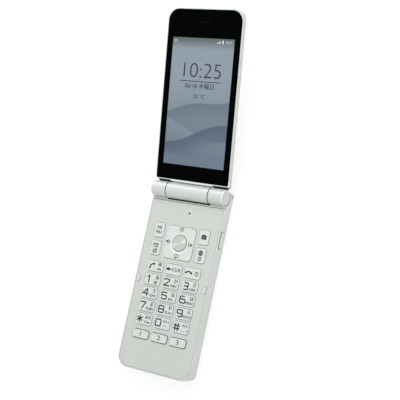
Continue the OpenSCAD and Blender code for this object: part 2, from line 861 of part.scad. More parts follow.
module base_front_cover() {
    color(SHELL)
        difference() {
            union() {
                difference() {
                    intersection() {
                        base_form();
                        block([-far, -far, seam_h], [far, split_y, far]);
                    }
                    intersection() {
                        base_form(case_wall);
                        block([-far, -far, 0], [far, cavity_end, plate_z]);
                    }
                }
                each_at(low_screws)
                    post(boss_r, column_top + fit_gap, plate_z);
            }
            block([-far, step_y, base_t - ledge_drop], [far, far, far]);
            block([-far, step_y, base_t - ledge_drop - step_groove_d], [far, step_y + step_groove_w, far]);
            base_groove(base_t - face_seam);
            hinge_room();
            key_openings();
            side_key_form(key_gap, half_w - case_wall - over, far);
            port_form(port_wall + fit_gap, -far, bottom_y + case_wall + over);
            at_stops()
                translate([0, 0, base_t - stop_rise])
                    linear_extrude(far)
                        rotate(90)
                            stadium(stop_len + 2 * fit_gap, stop_w + 2 * fit_gap);
            at(pinhole_x, lid_end - pinhole_back)
                cylinder(r = pinhole_r, h = far);
            each_at(screw_spots)
                post(bore_r, 0, screw_tip + fit_gap);
        }
}

module base_rear_case() {
    well_half = battery_w / 2 + well_margin;
    well_len = battery_len / 2 + well_margin;
    color(SHELL)
        difference() {
            union() {
                difference() {
                    intersection() {
                        base_form();
                        union() {
                            block([-far, -far, 0], [far, far, seam_h]);
                            block([-far, split_y, 0], [far, far, cradle_z]);
                        }
                    }
                    intersection() {
                        base_form(case_wall);
                        block([-far, -far, 0], [far, cavity_end, far]);
                    }
                }
                at(0, battery_y) {
                    block([-well_half, -well_len, cover_t], [well_half, well_len, well_top]);
                    slab(cover_w + 2 * well_margin, cover_len + 2 * well_margin, cover_r + well_margin,
                        cover_t / 2, cover_t + fit_gap + cover_ledge_t);
                }
                intersection() {
                    each_at(low_screws)
                        post(column_r, 0, column_top);
                    base_form();
                }
            }
            at(0, battery_y) {
                slab(battery_w + 2 * battery_gap, battery_len + 2 * battery_gap, module_r + battery_gap,
                    -over, well_ceiling);
                slab(cover_w + 2 * battery_gap, cover_len + 2 * battery_gap, cover_r + battery_gap,
                    -over, cover_t + fit_gap);
                translate([0, -cover_len / 2, 0])
                    post(notch_r, -over, notch_d);
            }
            base_groove(seam_h);
            hinge_room();
            strap_tunnel();
            port_form(port_wall + fit_gap, -far, bottom_y + case_wall + over);
            each_at(screw_spots) {
                post(head_bore_r, -over, screw_sink + screw_head_t + fit_gap);
                post(bore_r, 0, far);
            }
            at(side_x, 0)
                translate([0, 0, board_z - mic_hole_drop])
                    along_y(-over, case_wall + over)
                        circle(mic_hole_r);
            for (i = [0 : slot_count - 1])
                at(-side_x + (i - (slot_count - 1) / 2) * slot_pitch, sound_y)
                    translate([0, 0, -over])
                        linear_extrude(case_wall + 2 * over)
                            rotate(90)
                                stadium(slot_len, slot_w);
        }
}

module battery_cover() {
    color(SHELL)
        at(0, battery_y)
            slab(cover_w, cover_len, cover_r, 0, cover_t);
}

module battery_pack() {
    color(METAL)
        at(0, battery_y)
            difference() {
                slab(battery_w, battery_len, module_r, battery_z, battery_top);
                for (i = [-1 : 1])
                    translate([i * contact_pitch, battery_len / 2, 0])
                        block([-contact_w / 2, -contact_d, battery_z + contact_edge],
                            [contact_w / 2, over, battery_top - contact_edge]);
            }
}

module main_board() {
    board_half = half_w - board_side;
    tab_half = screw_x - column_r - part_gap;
    board_end = cavity_end - bottom_y - board_edge;
    well_end = well_y + battery_len + 2 * well_margin;
    switch_face = half_w - case_wall - flange_gap - flange_t - key_travel - press_gap;
    color(BOARD)
        at(0, 0) {
            block([-board_half, board_y, board_z], [board_half, board_end, board_top]);
            block([-tab_half, case_wall + board_edge, board_z], [tab_half, board_y, board_top]);
            translate([-side_x, board_y, board_z])
                block([-can_w / 2, 0, -can_t], [can_w / 2, can_len, 0]);
            translate([0, well_end + part_gap, board_z])
                block([-can_w / 2, 0, -can_t], [can_w / 2, top_can_len, 0]);
            block([board_half - switch_lap, side_key_y - switch_len / 2, board_z],
                [switch_face, side_key_y + switch_len / 2, board_z + switch_h]);
        }
}

module dome_sheet() {
    color(GOLD) {
        at(0, 0)
            block([-mat_half, mat_low, board_top], [mat_half, mat_high, sheet_top]);
        for (k = KEYS)
            at(k[1], k[2])
                post(dome_r, board_top, dome_top);
        at(0, pad_y) {
            post(dome_r, board_top, dome_top);
            for (a = [0 : 90 : 270])
                rotate(a)
                    translate([pad_size / 2 - dome_r, 0, 0])
                        post(dome_r, board_top, dome_top);
        }
    }
}

module keypad_rubber() {
    dip_size = rocker_size + 2 * rocker_room;
    color(RUBBER)
        difference() {
            at(0, 0)
                block([-mat_half, mat_low, mat_z], [mat_half, mat_high, mat_top]);
            at(0, pad_y)
                difference() {
                    slab(dip_size, dip_size, pad_corner_r, mat_top - rocker_dip, mat_top + over);
                    cylinder(r = select_r - post_inset, h = far);
                }
        }
}

module loudspeaker() {
    frame_z = case_wall + fit_gap;
    magnet_w = speaker_w - 2 * speaker_step;
    magnet_len = speaker_len - 2 * speaker_step;
    color(BLACK)
        at(-side_x, sound_y) {
            slab(speaker_w, speaker_len, speaker_step, frame_z, frame_z + speaker_t);
            slab(magnet_w, magnet_len, speaker_step, frame_z + speaker_t, frame_z + speaker_t + magnet_t);
        }
}

module vibration_motor() {
    weight_x = motor_len + weight_gap;
    weight_r = motor_r - part_gap / 2;
    hub_r = motor_shaft_r + weight_gap / 2;
    color(METAL)
        at(motor_x, sound_y)
            translate([0, 0, case_wall + fit_gap + motor_r]) {
                rod_x(motor_r, 0, motor_len);
                rod_x(motor_shaft_r, motor_len - fit_gap, weight_x + weight_len);
                rod_x(hub_r, weight_x, weight_x + weight_len);
                intersection() {
                    rod_x(weight_r, weight_x, weight_x + weight_len);
                    block([0, -motor_r, 0], [far, motor_r, motor_r]);
                }
            }
}

module microphone() {
    color(METAL)
        at(side_x, mic_y)
            post(mic_r, board_z - mic_t - fit_gap, board_z - fit_gap);
}

module usb_connector() {
    mouth_y = bottom_y + port_set;
    tongue_half = port_w / 2 - port_tongue_gap;
    color(METAL) {
        difference() {
            port_form(port_wall, mouth_y, mouth_y + port_depth + port_wall);
            port_form(0, -far, mouth_y + port_depth);
        }
        translate([0, 0, port_z])
            block([-tongue_half, mouth_y + port_tongue_gap, -port_tongue_t / 2],
                [tongue_half, mouth_y + port_depth + port_wall / 2, port_tongue_t / 2]);
    }
}

module base_screws() {
    color(METAL)
        each_at(screw_spots)
            screw(screw_sink, screw_tip);
}

module lid_stops() {
    stop_z = base_t - stop_rise + fit_gap;
    stop_top = base_t + stop_rise;
    edge = stop_rise / 2;
    color(RUBBER)
        at_stops()
            intersection() {
                translate([0, 0, stop_z])
                    linear_extrude(far)
                        rotate(90)
                            stadium(stop_len, stop_w);
                along_y(-stop_len, stop_len)
                    rounded([-stop_w / 2, stop_z], [stop_w / 2, stop_top], [0, 0, edge, edge]);
                along_x(-stop_w, stop_w)
                    rounded([-stop_len / 2, stop_z], [stop_len / 2, stop_top], [0, 0, edge, edge]);
            }
}

module dpad() {
    top = base_t + pad_rise;
    color(KEY)
        at(0, pad_y) {
            difference() {
                cap(pad_size, pad_size, pad_corner_r, key_edge_r, pad_bottom, top);
                cylinder(r = select_gap_r, h = far);
                translate([0, 0, top - dish_d])
                    cylinder(r1 = select_gap_r, r2 = select_gap_r + dish_w, h = dish_d);
            }
            for (sy = [-1, 1])
                translate([0, sy * stud_place, 0])
                    post(stud_r, rocker_top + press_gap, pad_bottom + press_gap);
        }
}

module dpad_plate() {
    color(METAL)
        at(0, pad_y) {
            difference() {
                slab(rocker_size, rocker_size, pad_corner_r, rocker_z, rocker_top);
                cylinder(r = select_gap_r + key_gap, h = far);
            }
            for (sx = [-1, 1])
                translate([sx * stud_place, 0, 0])
                    post(stud_r, mat_top - rocker_dip + press_gap, rocker_z + press_gap);
        }
}

module select_key() {
    crown_ball = (select_r * select_r + select_crown * select_crown) / (2 * select_crown);
    top = base_t + tall_rise;
    color(METAL)
        at(0, pad_y)
            intersection() {
                post(select_r, key_bottom, far);
                translate([0, 0, top - crown_ball])
                    sphere(r = crown_ball, $fn = 128);
            }
}

module side_key() {
    inner = half_w - case_wall - flange_gap;
    outer = half_w + side_key_rise;
    half_len = side_key_len / 2;
    half_high = side_key_w / 2;
    color(KEY) {
        intersection() {
            side_key_form(0, inner - flange_t, outer);
            at(0, side_key_y)
                linear_extrude(base_t)
                    rounded([0, -half_len], [outer, half_len], [0, side_edge_r, side_edge_r, 0]);
            along_y(-far, far)
                rounded([0, side_key_z - half_high], [outer, side_key_z + half_high],
                    [0, side_edge_r, side_edge_r, 0]);
        }
        at(0, side_key_y)
            translate([0, 0, side_key_z])
                block([inner - flange_t, -half_len - 2 * flange_w, -half_high],
                    [inner, half_len + 2 * flange_w, half_high]);
    }
}

// Cover glass outline grown by extra, between z0 and z1, in the lid's own frame
module glass_form(extra, z0, z1) {
    half = glass_half + extra;
    root_r = glass_root_r + extra;
    end_r = corner_r - glass_rim + extra;
    translate([0, 0, z0])
        linear_extrude(z1 - z0)
            rounded([-half, lid_root + glass_root - extra], [half, glass_end + extra],
                [root_r, root_r, end_r, end_r]);
}

module lid_front_frame() {
    boss_z = cover_inside + lid_pad_h + fit_gap;
    color(BRIGHT)
        on_lid()
            difference() {
                union() {
                    intersection() {
                        lid_form();
                        block([-far, -far, frame_back], [far, far, far]);
                    }
                    each_at(lid_screw_spots)
                        post(boss_r, boss_z, frame_back);
                }
                glass_form(fit_gap, glass_back - fit_gap, far);
                block([-far, -far, -far], [-barrel_len / 2, lid_root + root_relief, far]);
                block([barrel_len / 2, -far, -far], [far, lid_root + root_relief, far]);
                block([-module_half - fit_gap, module_y - fit_gap, -far],
                    [module_half + fit_gap, module_end + fit_gap, far]);
                translate([0, receiver_y, 0])
                    slab(receiver_w + 2 * fit_gap, receiver_h + 2 * fit_gap, module_r + fit_gap, -far, far);
                each_at(lid_screw_spots)
                    post(bore_r, -far, frame_back + lid_screw_bite + fit_gap);
            }
}

module display_glass() {
    color(BLACK)
        on_lid()
            difference() {
                glass_form(0, glass_back, glass_top);
                translate([0, receiver_y, -far])
                    linear_extrude(2 * far)
                        stadium(ear_w, ear_h);
            }
}

module lcd_module() {
    color(METAL)
        on_lid()
            block([-module_half, module_y, screen_back], [module_half, module_end, screen_top]);
}

module receiver_speaker() {
    color(METAL)
        on_lid()
            translate([0, receiver_y, 0])
                slab(receiver_w, receiver_h, module_r, frame_back - receiver_depth, glass_back - fit_gap);
}

// Lip that closes the gap under the right-hand end barrel, in the lid's own frame
module root_lip() {
    top = frame_back - groove_h;
    along_x(barrel_len / 2, half_w - lid_root_r)
        rounded([lid_root - lip_len, top - lip_t], [lid_root + lid_wall / 2, top], [lip_t / 2, 0, 0, 0]);
}

module lid_rear_cover() {
    color(SHELL)
        on_lid()
            difference() {
                union() {
                    difference() {
                        intersection() {
                            lid_form();
                            block([-far, -far, -far], [far, far, frame_back]);
                        }
                        intersection() {
                            lid_form(lid_wall);
                            block([-far, -far, cover_inside], [far, far, far]);
                        }
                    }
                    intersection() {
                        each_at(lid_screw_spots)
                            post(column_r, lid_rear, cover_inside + lid_pad_h);
                        lid_form();
                    }
                    root_lip();
                    mirror([1, 0, 0])
                        root_lip();
                }
                lid_groove();
                block([-barrel_len / 2 + tongue_side - fit_gap, 0, frame_back - tongue_t - 2 * fit_gap],
                    [barrel_len / 2 - tongue_side + fit_gap, tongue_len + fit_gap, far]);
                translate([0, camera_y, 0])
                    post(camera_ring_r + fit_gap, -far, far);
                translate([flash_x, camera_y, 0])
                    post(flash_r + fit_gap, -far, far);
                translate([0, sub_y, 0]) {
                    slab(sub_w + 2 * fit_gap, sub_h + 2 * fit_gap, sub_r + fit_gap, -far, lid_rear + sub_t);
                    slab(sub_open_w, sub_open_h, module_r, -far, far);
                }
                each_at(lid_screw_spots) {
                    post(head_bore_r, -far, lid_rear + lid_screw_sink + screw_head_t + fit_gap);
                    post(bore_r, -far, far);
                }
            }
}

module centre_barrel() {
    tongue_half = barrel_len / 2 - tongue_side;
    color(BRIGHT)
        on_lid()
            difference() {
                union() {
                    rod_x(barrel_r, -barrel_len / 2, barrel_len / 2);
                    block([-tongue_half, 0, frame_back - fit_gap - tongue_t],
                        [tongue_half, tongue_len, frame_back - fit_gap]);
                }
                rod_x(barrel_bore_r, -far, far);
            }
}

module camera_module() {
    barrel_top = screen_back - camera_gap - fit_gap;
    color(BLACK)
        on_lid()
            translate([0, camera_y, 0]) {
                slab(camera_size, camera_size, module_r,
                    cover_inside + camera_gap, screen_back - camera_gap);
                post(camera_window_r - camera_ledge - 2 * fit_gap, lid_rear + sub_t + fit_gap, barrel_top);
            }
}

module camera_ring() {
    color(METAL)
        on_lid()
            translate([0, camera_y, 0])
                difference() {
                    post(camera_ring_r, lid_rear - camera_ring_rise, cover_inside);
                    post(camera_window_r + fit_gap, -far, lid_rear + sub_t);
                    post(camera_window_r - camera_ledge, -far, far);
                }
}

module camera_window() {
    color(BLACK)
        on_lid()
            translate([0, camera_y, 0])
                post(camera_window_r, lid_rear - camera_ring_rise / 2, lid_rear + sub_t - fit_gap);
}

module flash_window() {
    color("ivory")
        on_lid()
            translate([flash_x, camera_y, 0])
                post(flash_r, lid_rear, cover_inside);
}

module sub_display_window() {
    color(BLACK)
        on_lid()
            translate([0, sub_y, 0])
                slab(sub_w, sub_h, sub_r, lid_rear, lid_rear + sub_t - fit_gap);
}

module sub_display_panel() {
    panel_z = cover_inside + fit_gap;
    color(METAL)
        on_lid()
            translate([0, sub_y, 0])
                slab(sub_open_w + sub_ledge, sub_open_h + sub_ledge, module_r,
                    panel_z, panel_z + sub_panel_t);
}

module lid_screws() {
    color(METAL)
        on_lid()
            each_at(lid_screw_spots)
                screw(lid_rear + lid_screw_sink, frame_back + lid_screw_bite);
}

module hinge_unit() {
    bore_x = barrel_len / 2 - pivot_reach - shaft_play;
    color(METAL)
        on_lid()
            difference() {
                rod_x(barrel_bore_r - fit_gap, bore_x - unit_wall, barrel_len / 2 - fit_gap);
                rod_x(shaft_r + running_gap, bore_x, far);
            }
}

module hinge_shaft() {
    color(METAL)
        on_axis() {
            rod_x(shaft_r, barrel_len / 2 - pivot_reach, drive_x + fit_gap);
            block([drive_x, -drive_half, -drive_half],
                [cap_x + socket_depth - fit_gap, drive_half, drive_half]);
        }
}

module pivot_bush() {
    bush_r = barrel_bore_r - running_gap;
    color(METAL)
        on_axis()
            difference() {
                rod_x(bush_r, -cap_x - socket_depth + fit_gap, -barrel_len / 2 + pivot_reach);
                rod_x(bush_r - bush_wall, -far, far);
            }
}

module hinge_flex() {
    roll_r = barrel_bore_r - running_gap - bush_wall - flex_gap;
    color(GOLD)
        on_axis()
            difference() {
                rod_x(roll_r, -cap_x - socket_depth + flex_reach,
                    -barrel_len / 2 + pivot_reach + flex_reach);
                rod_x(roll_r - flex_wall, -far, far);
            }
}

// End barrel on the right-hand side, solid, with its bevelled outer end
module end_barrel() {
    rod_x(barrel_r, cap_x, cap_end - cap_bevel_len);
    translate([cap_end - cap_bevel_len, 0, 0])
        rotate([0, 90, 0])
            cylinder(r1 = barrel_r, r2 = barrel_r - cap_bevel, h = cap_bevel_len);
}

module hinge_cap_left() {
    color(BRIGHT)
        on_axis()
            difference() {
                mirror([1, 0, 0])
                    end_barrel();
                rod_x(barrel_bore_r, -cap_x - socket_depth, far);
            }
}

module hinge_cap_right() {
    socket_half = drive_half + fit_gap;
    color(BRIGHT)
        on_axis()
            difference() {
                end_barrel();
                rod_x(shaft_r + fit_gap, -far, drive_x);
                block([drive_x - fit_gap, -socket_half, -socket_half],
                    [cap_x + socket_depth, socket_half, socket_half]);
            }
}

lid_front_frame();
lid_rear_cover();
centre_barrel();
display_glass();
lcd_module();
receiver_speaker();
camera_module();
camera_ring();
camera_window();
flash_window();
sub_display_panel();
sub_display_window();
lid_screws();
hinge_unit();
hinge_shaft();
pivot_bush();
hinge_flex();
hinge_cap_left();
hinge_cap_right();
base_front_cover();
base_rear_case();
battery_cover();
battery_pack();
main_board();
keypad_rubber();
dome_sheet();
loudspeaker();
microphone();
vibration_motor();
usb_connector();
base_screws();
lid_stops();
dpad();
dpad_plate();
select_key();
side_key();
for (k = KEYS)
    push_key(k);
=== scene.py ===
# %% [markdown]
# # A flip phone, from bare solids to a finished picture
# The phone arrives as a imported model: casings, keys, hinge and screen as solids at their real
# size and place, each riding on the body that moves it. Those solids stay as they are. This
# lesson adds what the paint shop, the printer and the photographer add: finishes, key legends,
# a lit screen, screw recesses, light and a camera. Everything is in metres, in one frame.

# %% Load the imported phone
import json
import math

import bpy
from mathutils import Matrix, Vector


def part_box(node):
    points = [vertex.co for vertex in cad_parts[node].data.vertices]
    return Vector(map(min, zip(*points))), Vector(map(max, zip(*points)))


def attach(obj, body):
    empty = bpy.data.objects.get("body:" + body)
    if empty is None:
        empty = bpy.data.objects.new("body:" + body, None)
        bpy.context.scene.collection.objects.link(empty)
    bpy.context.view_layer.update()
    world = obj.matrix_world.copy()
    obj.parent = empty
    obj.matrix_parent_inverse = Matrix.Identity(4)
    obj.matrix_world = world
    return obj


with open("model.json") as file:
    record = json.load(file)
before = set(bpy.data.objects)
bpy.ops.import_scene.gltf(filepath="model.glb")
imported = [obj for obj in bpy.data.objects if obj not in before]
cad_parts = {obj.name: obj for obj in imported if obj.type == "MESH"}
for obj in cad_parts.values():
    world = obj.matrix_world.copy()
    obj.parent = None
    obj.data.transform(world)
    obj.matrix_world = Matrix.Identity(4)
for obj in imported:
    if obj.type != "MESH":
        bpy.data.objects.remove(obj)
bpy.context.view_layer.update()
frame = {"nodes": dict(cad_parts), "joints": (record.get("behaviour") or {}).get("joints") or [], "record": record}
MM = 0.001

# %% [markdown]
# ## Where the lid lies
# The lid stands open, so its glass is tilted in the model's frame. Anything that belongs to the
# lid is easier to draw flat, in the lid's own frame with the hinge axis as origin, and to tilt
# afterwards. The hinge joint already holds the axis and the angle, so they are read from there.

# %% The lid's own frame
hinge = next(joint for joint in frame["joints"] if joint["name"] == "lid_hinge")
lid_axis = Vector(hinge["pos_m"])
lid_tilt = math.radians(180 - hinge["range_deg"][1])
lid_frame = Matrix.Translation(lid_axis) @ Matrix.Rotation(lid_tilt, 4, "X")


def lid_box(node):
    """Lowest and highest corner of a lid piece, in the lid's own frame."""
    flat = lid_frame.inverted()
    points = [flat @ vertex.co for vertex in frame["nodes"][node].data.vertices]
    low = Vector(min(point[i] for point in points) for i in range(3))
    high = Vector(max(point[i] for point in points) for i in range(3))
    return low, high


print("Lid tilted by", round(math.degrees(lid_tilt), 1), "degrees about", tuple(lid_axis))

# %% [markdown]
# ## The camera
# The picture is taken with a longish lens from above the phone's right side. A camera could be
# placed by eye, but a place, a point to look at and a roll about that line say the same thing
# in four plain values, and the roll is what makes the phone lean in the picture.

# %% Camera
CAMERA_PLACE = Vector((278.83, -7.92, 476.0)) * MM
CAMERA_TARGET = Vector((7.456, 48.713, 10.2)) * MM
CAMERA_ROLL = math.radians(-67.718)
CAMERA_LENS = 82.708
SENSOR_W = 36

bpy.ops.object.camera_add(location=CAMERA_PLACE)
camera = bpy.context.object
camera.data.sensor_width = SENSOR_W
camera.data.lens = CAMERA_LENS
line_of_sight = (CAMERA_TARGET - CAMERA_PLACE).to_track_quat("-Z", "Y").to_matrix()
camera.rotation_euler = (line_of_sight @ Matrix.Rotation(CAMERA_ROLL, 3, "Z")).to_euler()
bpy.context.scene.camera = camera
print("Camera", round((CAMERA_TARGET - CAMERA_PLACE).length / MM), "mm from the hinge")

# %% [markdown]
# ## Shaders as sums
# A finish is a small calculation: so much noise, so much grain, a ring here. In the node editor
# every plus and times is a box with wires. One class that stands for a node's output lets
# Python's own operators add those boxes, so that a finish reads as the sum that it is. Every
# other node comes from one method: its kind, its settings, then what goes into its sockets.

# %% Readings
class Reading:
    """An output of a shader node, which Python's operators turn into Math nodes."""

    def __init__(self, recipe, socket):
        self.recipe = recipe
        self.socket = socket

    def out(self, name):
        """Another output of the same node."""
        return Reading(self.recipe, self.socket.node.outputs[name])

    def size(self):
        """The same without its sign."""
        return self.maths("ABSOLUTE", self)

    def most(self, other):
        """The greater of two readings."""
        return self.maths("MAXIMUM", self, other)

    def maths(self, operation, *values):
        """A Math node on these values or readings."""
        return self.recipe.node("ShaderNodeMath", {"operation": operation}, dict(enumerate(values)))

    def __add__(self, other):
        return self.maths("ADD", self, other)

    def __sub__(self, other):
        return self.maths("SUBTRACT", self, other)

    def __rsub__(self, other):
        return self.maths("SUBTRACT", other, self)

    def __mul__(self, other):
        return self.maths("MULTIPLY", self, other)

    def __truediv__(self, other):
        return self.maths("DIVIDE", self, other)

    def __rtruediv__(self, other):
        return self.maths("DIVIDE", other, self)

    def __pow__(self, other):
        return self.maths("POWER", self, other)

    __radd__ = __add__
    __rmul__ = __mul__


print("Readings ready")

# %% [markdown]
# ## Recipes and finishes
# A recipe fills a node tree. Besides the one method for any node it has the few steps that most
# finishes need: a mix of two colours, the three coordinates of a place, a smooth climb and masks
# with hair-thin edges. A finish is the recipe of a material. A number that is the same all over
# goes straight to the shader's own socket, because it needs no node.

# %% Recipes
EDGE = 0.02


class Recipe:
    """A node tree that is filled by expressions."""

    def __init__(self, tree):
        self.tree = tree

    def node(self, kind, settings=None, sockets=None):
        """Adds a node, sets its settings and then its sockets, and gives its first live output."""
        made = self.tree.nodes.new(kind)
        for name, value in (settings or {}).items():
            setattr(made, name, value)
        self.plug(made, sockets or {})
        return Reading(self, next(output for output in made.outputs if output.enabled))

    def plug(self, node, sockets):
        """Links readings to a node's sockets and sets the others to plain values."""
        for key, value in sockets.items():
            if isinstance(value, Reading):
                self.tree.links.new(value.socket, node.inputs[key])
            else:
                node.inputs[key].default_value = value

    def mix(self, share, first, second):
        """The first colour where share is 0, the second where it is 1."""
        return self.node("ShaderNodeMix", {"data_type": "RGBA"}, {0: share, 6: first, 7: second})

    def parts(self, place):
        """The three coordinates of a place, each as a reading."""
        split = self.node("ShaderNodeSeparateXYZ", {}, {"Vector": place})
        return split, split.out("Y"), split.out("Z")

    def between(self, value, low, high):
        """1 where a length lies between two limits in millimetres, with hair-thin edges."""
        return self.over(value, low) * self.under(value, high)

    def over(self, value, limit):
        """1 where a length is past a limit in millimetres."""
        return self.ramp(value, (limit - EDGE) * MM, limit * MM)

    def under(self, value, limit):
        """1 where a length is short of a limit in millimetres."""
        return 1 - self.ramp(value, limit * MM, (limit + EDGE) * MM)

    def ramp(self, value, low, high):
        """0 below low, 1 above high, and a smooth climb between them."""
        settings = {"interpolation_type": "SMOOTHSTEP"}
        sockets = {"Value": value, "From Min": low, "From Max": high}
        return self.node("ShaderNodeMapRange", settings, sockets)


print("Recipes ready")


# %% Finishes
class Finish(Recipe):
    """A material: constants go to its surface at once, readings when they are worked out."""

    def __init__(self, name, constants):
        self.material = bpy.data.materials.new(name)
        self.material.use_nodes = True
        super().__init__(self.material.node_tree)
        self.surface = self.tree.nodes["Principled BSDF"]
        self.place = self.node("ShaderNodeTexCoord").out("Object")
        self.feed(constants)

    def feed(self, sockets):
        """Feeds the sockets of the surface."""
        self.plug(self.surface, sockets)

    def lid_place(self):
        """The same coordinates in the lid's own frame."""
        sockets = {"Vector": self.place, "Location": tuple(lid_axis), "Rotation": (lid_tilt, 0, 0)}
        return self.node("ShaderNodeMapping", {"vector_type": "TEXTURE"}, sockets)

    def noise(self, grain, detail=2.0, place=None):
        """Soft noise from 0 to 1, with lumps about grain millimetres wide."""
        sockets = {"Vector": place or self.place, "Scale": 1 / (grain * MM), "Detail": detail}
        return self.node("ShaderNodeTexNoise", {}, sockets)

    def relief(self, height, depth):
        """Surface normal of a relief that is depth millimetres deep where height runs from 0 to 1."""
        self.feed({"Normal": self.node("ShaderNodeBump", {}, {"Height": height, "Distance": depth * MM})})


def colour(red, green, blue):
    """A colour as picked on a screen, 0 to 255, in the linear values that shaders use."""
    parts = [part / 255 for part in (red, green, blue)]
    bright = [((part + 0.055) / 1.055) ** 2.4 for part in parts]
    return tuple(b if part > 0.04 else part / 12.92 for part, b in zip(parts, bright)) + (1.0,)


def shade(tone, share):
    """The same colour, lighter or darker."""
    return tuple(min(1.0, part * share) for part in tone[:3]) + (1.0,)


WHITE = (1.0, 1.0, 1.0, 1.0)
BLACK = (0.0, 0.0, 0.0, 1.0)
print("Finishes ready")

# %% [markdown]
# ## A small white studio
# Product pictures are shot on a white sweep under big soft lamps. A bright sky dome gives most
# of the light. One lamp stands over the hinge, one behind it lights the barrels, and a weak one
# at the right keeps the walls from going dull. The floor is near white and still takes the
# shadow. Only rays that show the background, straight, mirrored or through glass, see the paper
# mixed with plain white light: the shadow pales, as it does on a sweep that is lit from behind,
# and the phone itself gets no extra light from that.

# %% Sky and floor
SKY_LIGHT = 0.68
FLOOR_SIZE = 4.0
FLOOR_DROP = 0.05 * MM
FLOOR_TONE = 0.92
PAPER_GRAIN = 0.6
FLOOR_GLOW = 0.78
GLOW_LIGHT = 1.06


def shows_background(recipe):
    """1 for a ray that the viewer sees the background by, otherwise 0."""
    path = recipe.node("ShaderNodeLightPath")
    shown = path.out("Is Camera Ray") + path.out("Is Glossy Ray") + path.out("Is Transmission Ray")
    return shown.maths("MINIMUM", shown, 1.0)


def white_sky():
    """A dome of even light that looks white behind the phone."""
    world = bpy.data.worlds.new("white_sky")
    world.use_nodes = True
    bpy.context.scene.world = world
    sky = Recipe(world.node_tree)
    strength = SKY_LIGHT + (1 - SKY_LIGHT) * shows_background(sky)
    sky.plug(world.node_tree.nodes["Background"], {"Color": WHITE, "Strength": strength})


def pale_floor():
    """A wide sheet under the phone."""
    bpy.ops.object.select_all(action="DESELECT")
    bpy.ops.mesh.primitive_plane_add(size=FLOOR_SIZE, location=(0, 0, -FLOOR_DROP))
    floor = bpy.context.object
    floor.name = "floor"
    paper = Finish("white_paper", {"Roughness": 0.9, "Specular IOR Level": 0.0})
    sheet = (FLOOR_TONE, FLOOR_TONE, FLOOR_TONE, 1.0)
    paper.feed({"Base Color": paper.mix(paper.noise(PAPER_GRAIN), sheet, shade(sheet, 1.01))})
    glow = paper.node("ShaderNodeEmission", {}, {"Color": WHITE, "Strength": GLOW_LIGHT})
    lit = Reading(paper, paper.surface.outputs["BSDF"])
    share = FLOOR_GLOW * shows_background(paper)
    mixed = paper.node("ShaderNodeMixShader", {}, {0: share, 1: lit, 2: glow})
    paper.plug(paper.tree.nodes["Material Output"], {"Surface": mixed})
    floor.data.materials.append(paper.material)


white_sky()
pale_floor()
print("Sky at", SKY_LIGHT, "over a floor", FLOOR_SIZE, "m wide")


# %% Lamps
def soft_lamp(name, place, size, power):
    """A square lamp that looks at the hinge."""
    bpy.ops.object.light_add(type="AREA", location=place)
    lamp = bpy.context.object
    lamp.name = name
    lamp.data.size = size
    lamp.data.energy = power
    lamp.rotation_euler = (lid_axis - Vector(place)).to_track_quat("-Z", "Y").to_euler()


soft_lamp("top_lamp", place=(0.07, 0.2, 0.32), size=0.25, power=0.45)
soft_lamp("rear_lamp", place=(-0.3, 0.7, 0.35), size=0.6, power=1.65)
soft_lamp("side_lamp", place=(0.8, -0.1, 0.3), size=0.5, power=0.8)
bpy.context.scene.view_settings.view_transform = "Standard"
print("Three soft lamps look at the hinge")

# %% [markdown]
# ## Measures of the casings
# The painted shade follows edges: it lies in an opening, a step or a seam. Where these lie is worked out
# from the boxes of the pieces, so that the finishes stay on the right edges if a size changes.

# %% Measures
STEP_GAP = 1.8


def reach(node):
    """Lowest and highest corner of a piece, in millimetres."""
    return [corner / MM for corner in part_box(node)]


cover_low, cover_high = reach("base_front_cover")
cap_low, cap_high = reach("hinge_cap_right")
FACE = cover_high.z
HALF_W = cover_high.x
BOTTOM = cover_low.y
BARREL_R = (cap_high.z - cap_low.z) / 2
BARREL_HALF = reach("centre_barrel")[1].x
HINGE_Y = lid_axis.y / MM
STEP = HINGE_Y - BARREL_R - STEP_GAP
KEYS = [node for node in frame["nodes"] if node.startswith(("key_", "quick_key_"))]
KEYS_SIDE = max(reach(node)[1].x for node in KEYS)
KEYS_FOOT = min(reach(node)[0].y for node in KEYS)
RIM_TOP = lid_box("lid_front_frame")[1].z / MM
RIM_BACK = lid_box("lid_rear_cover")[1].z / MM
print("Key face at", round(FACE, 2), "mm, step at", round(STEP, 2), "mm")

# %% [markdown]
# ## Painted shade in the narrow places
# Light hardly reaches the narrow places: the walls of the key openings, the trough under the barrel
# and the seams. Their shade is painted in as a dark grey, and that is why every key has a dark
# outline. Fine lines of painted shade also run round the plate that carries the keys and round the
# two stops of the lid. All of this could be painted on an image by hand. Each place is a simple
# region, though, so it is a mask: limits on coordinates, or on the distance from an edge.

# %% Masks of the key face
CORNER_R = 7.5
PLATE_INSET = 0.9
LINE_HALF = 0.1
LINE_SHARE = 0.6
FACE_SKIN = 0.05
OPENING_DEPTH = 2.0
SHADE_INSET = 0.06
GROOVE_START, GROOVE_END = -0.04, 0.34
GROOVE_FLOOR, GROOVE_RIM = 0.9, 0.54
PINHOLE_X = 2.4
PINHOLE_Y = HINGE_Y - 12.2
PINHOLE_EDGE = 0.6


def length(across, along):
    """Length of a line that goes so far across and so far along."""
    return (across * across + along * along) ** 0.5


def from_corner(x, y):
    """Distance from the middle of the nearest rounded corner, which runs along the base's outline."""
    across = (x.size() - (HALF_W - CORNER_R) * MM).most(0.0)
    down = ((BOTTOM + CORNER_R) * MM - y).most(0.0)
    return length(across, down)


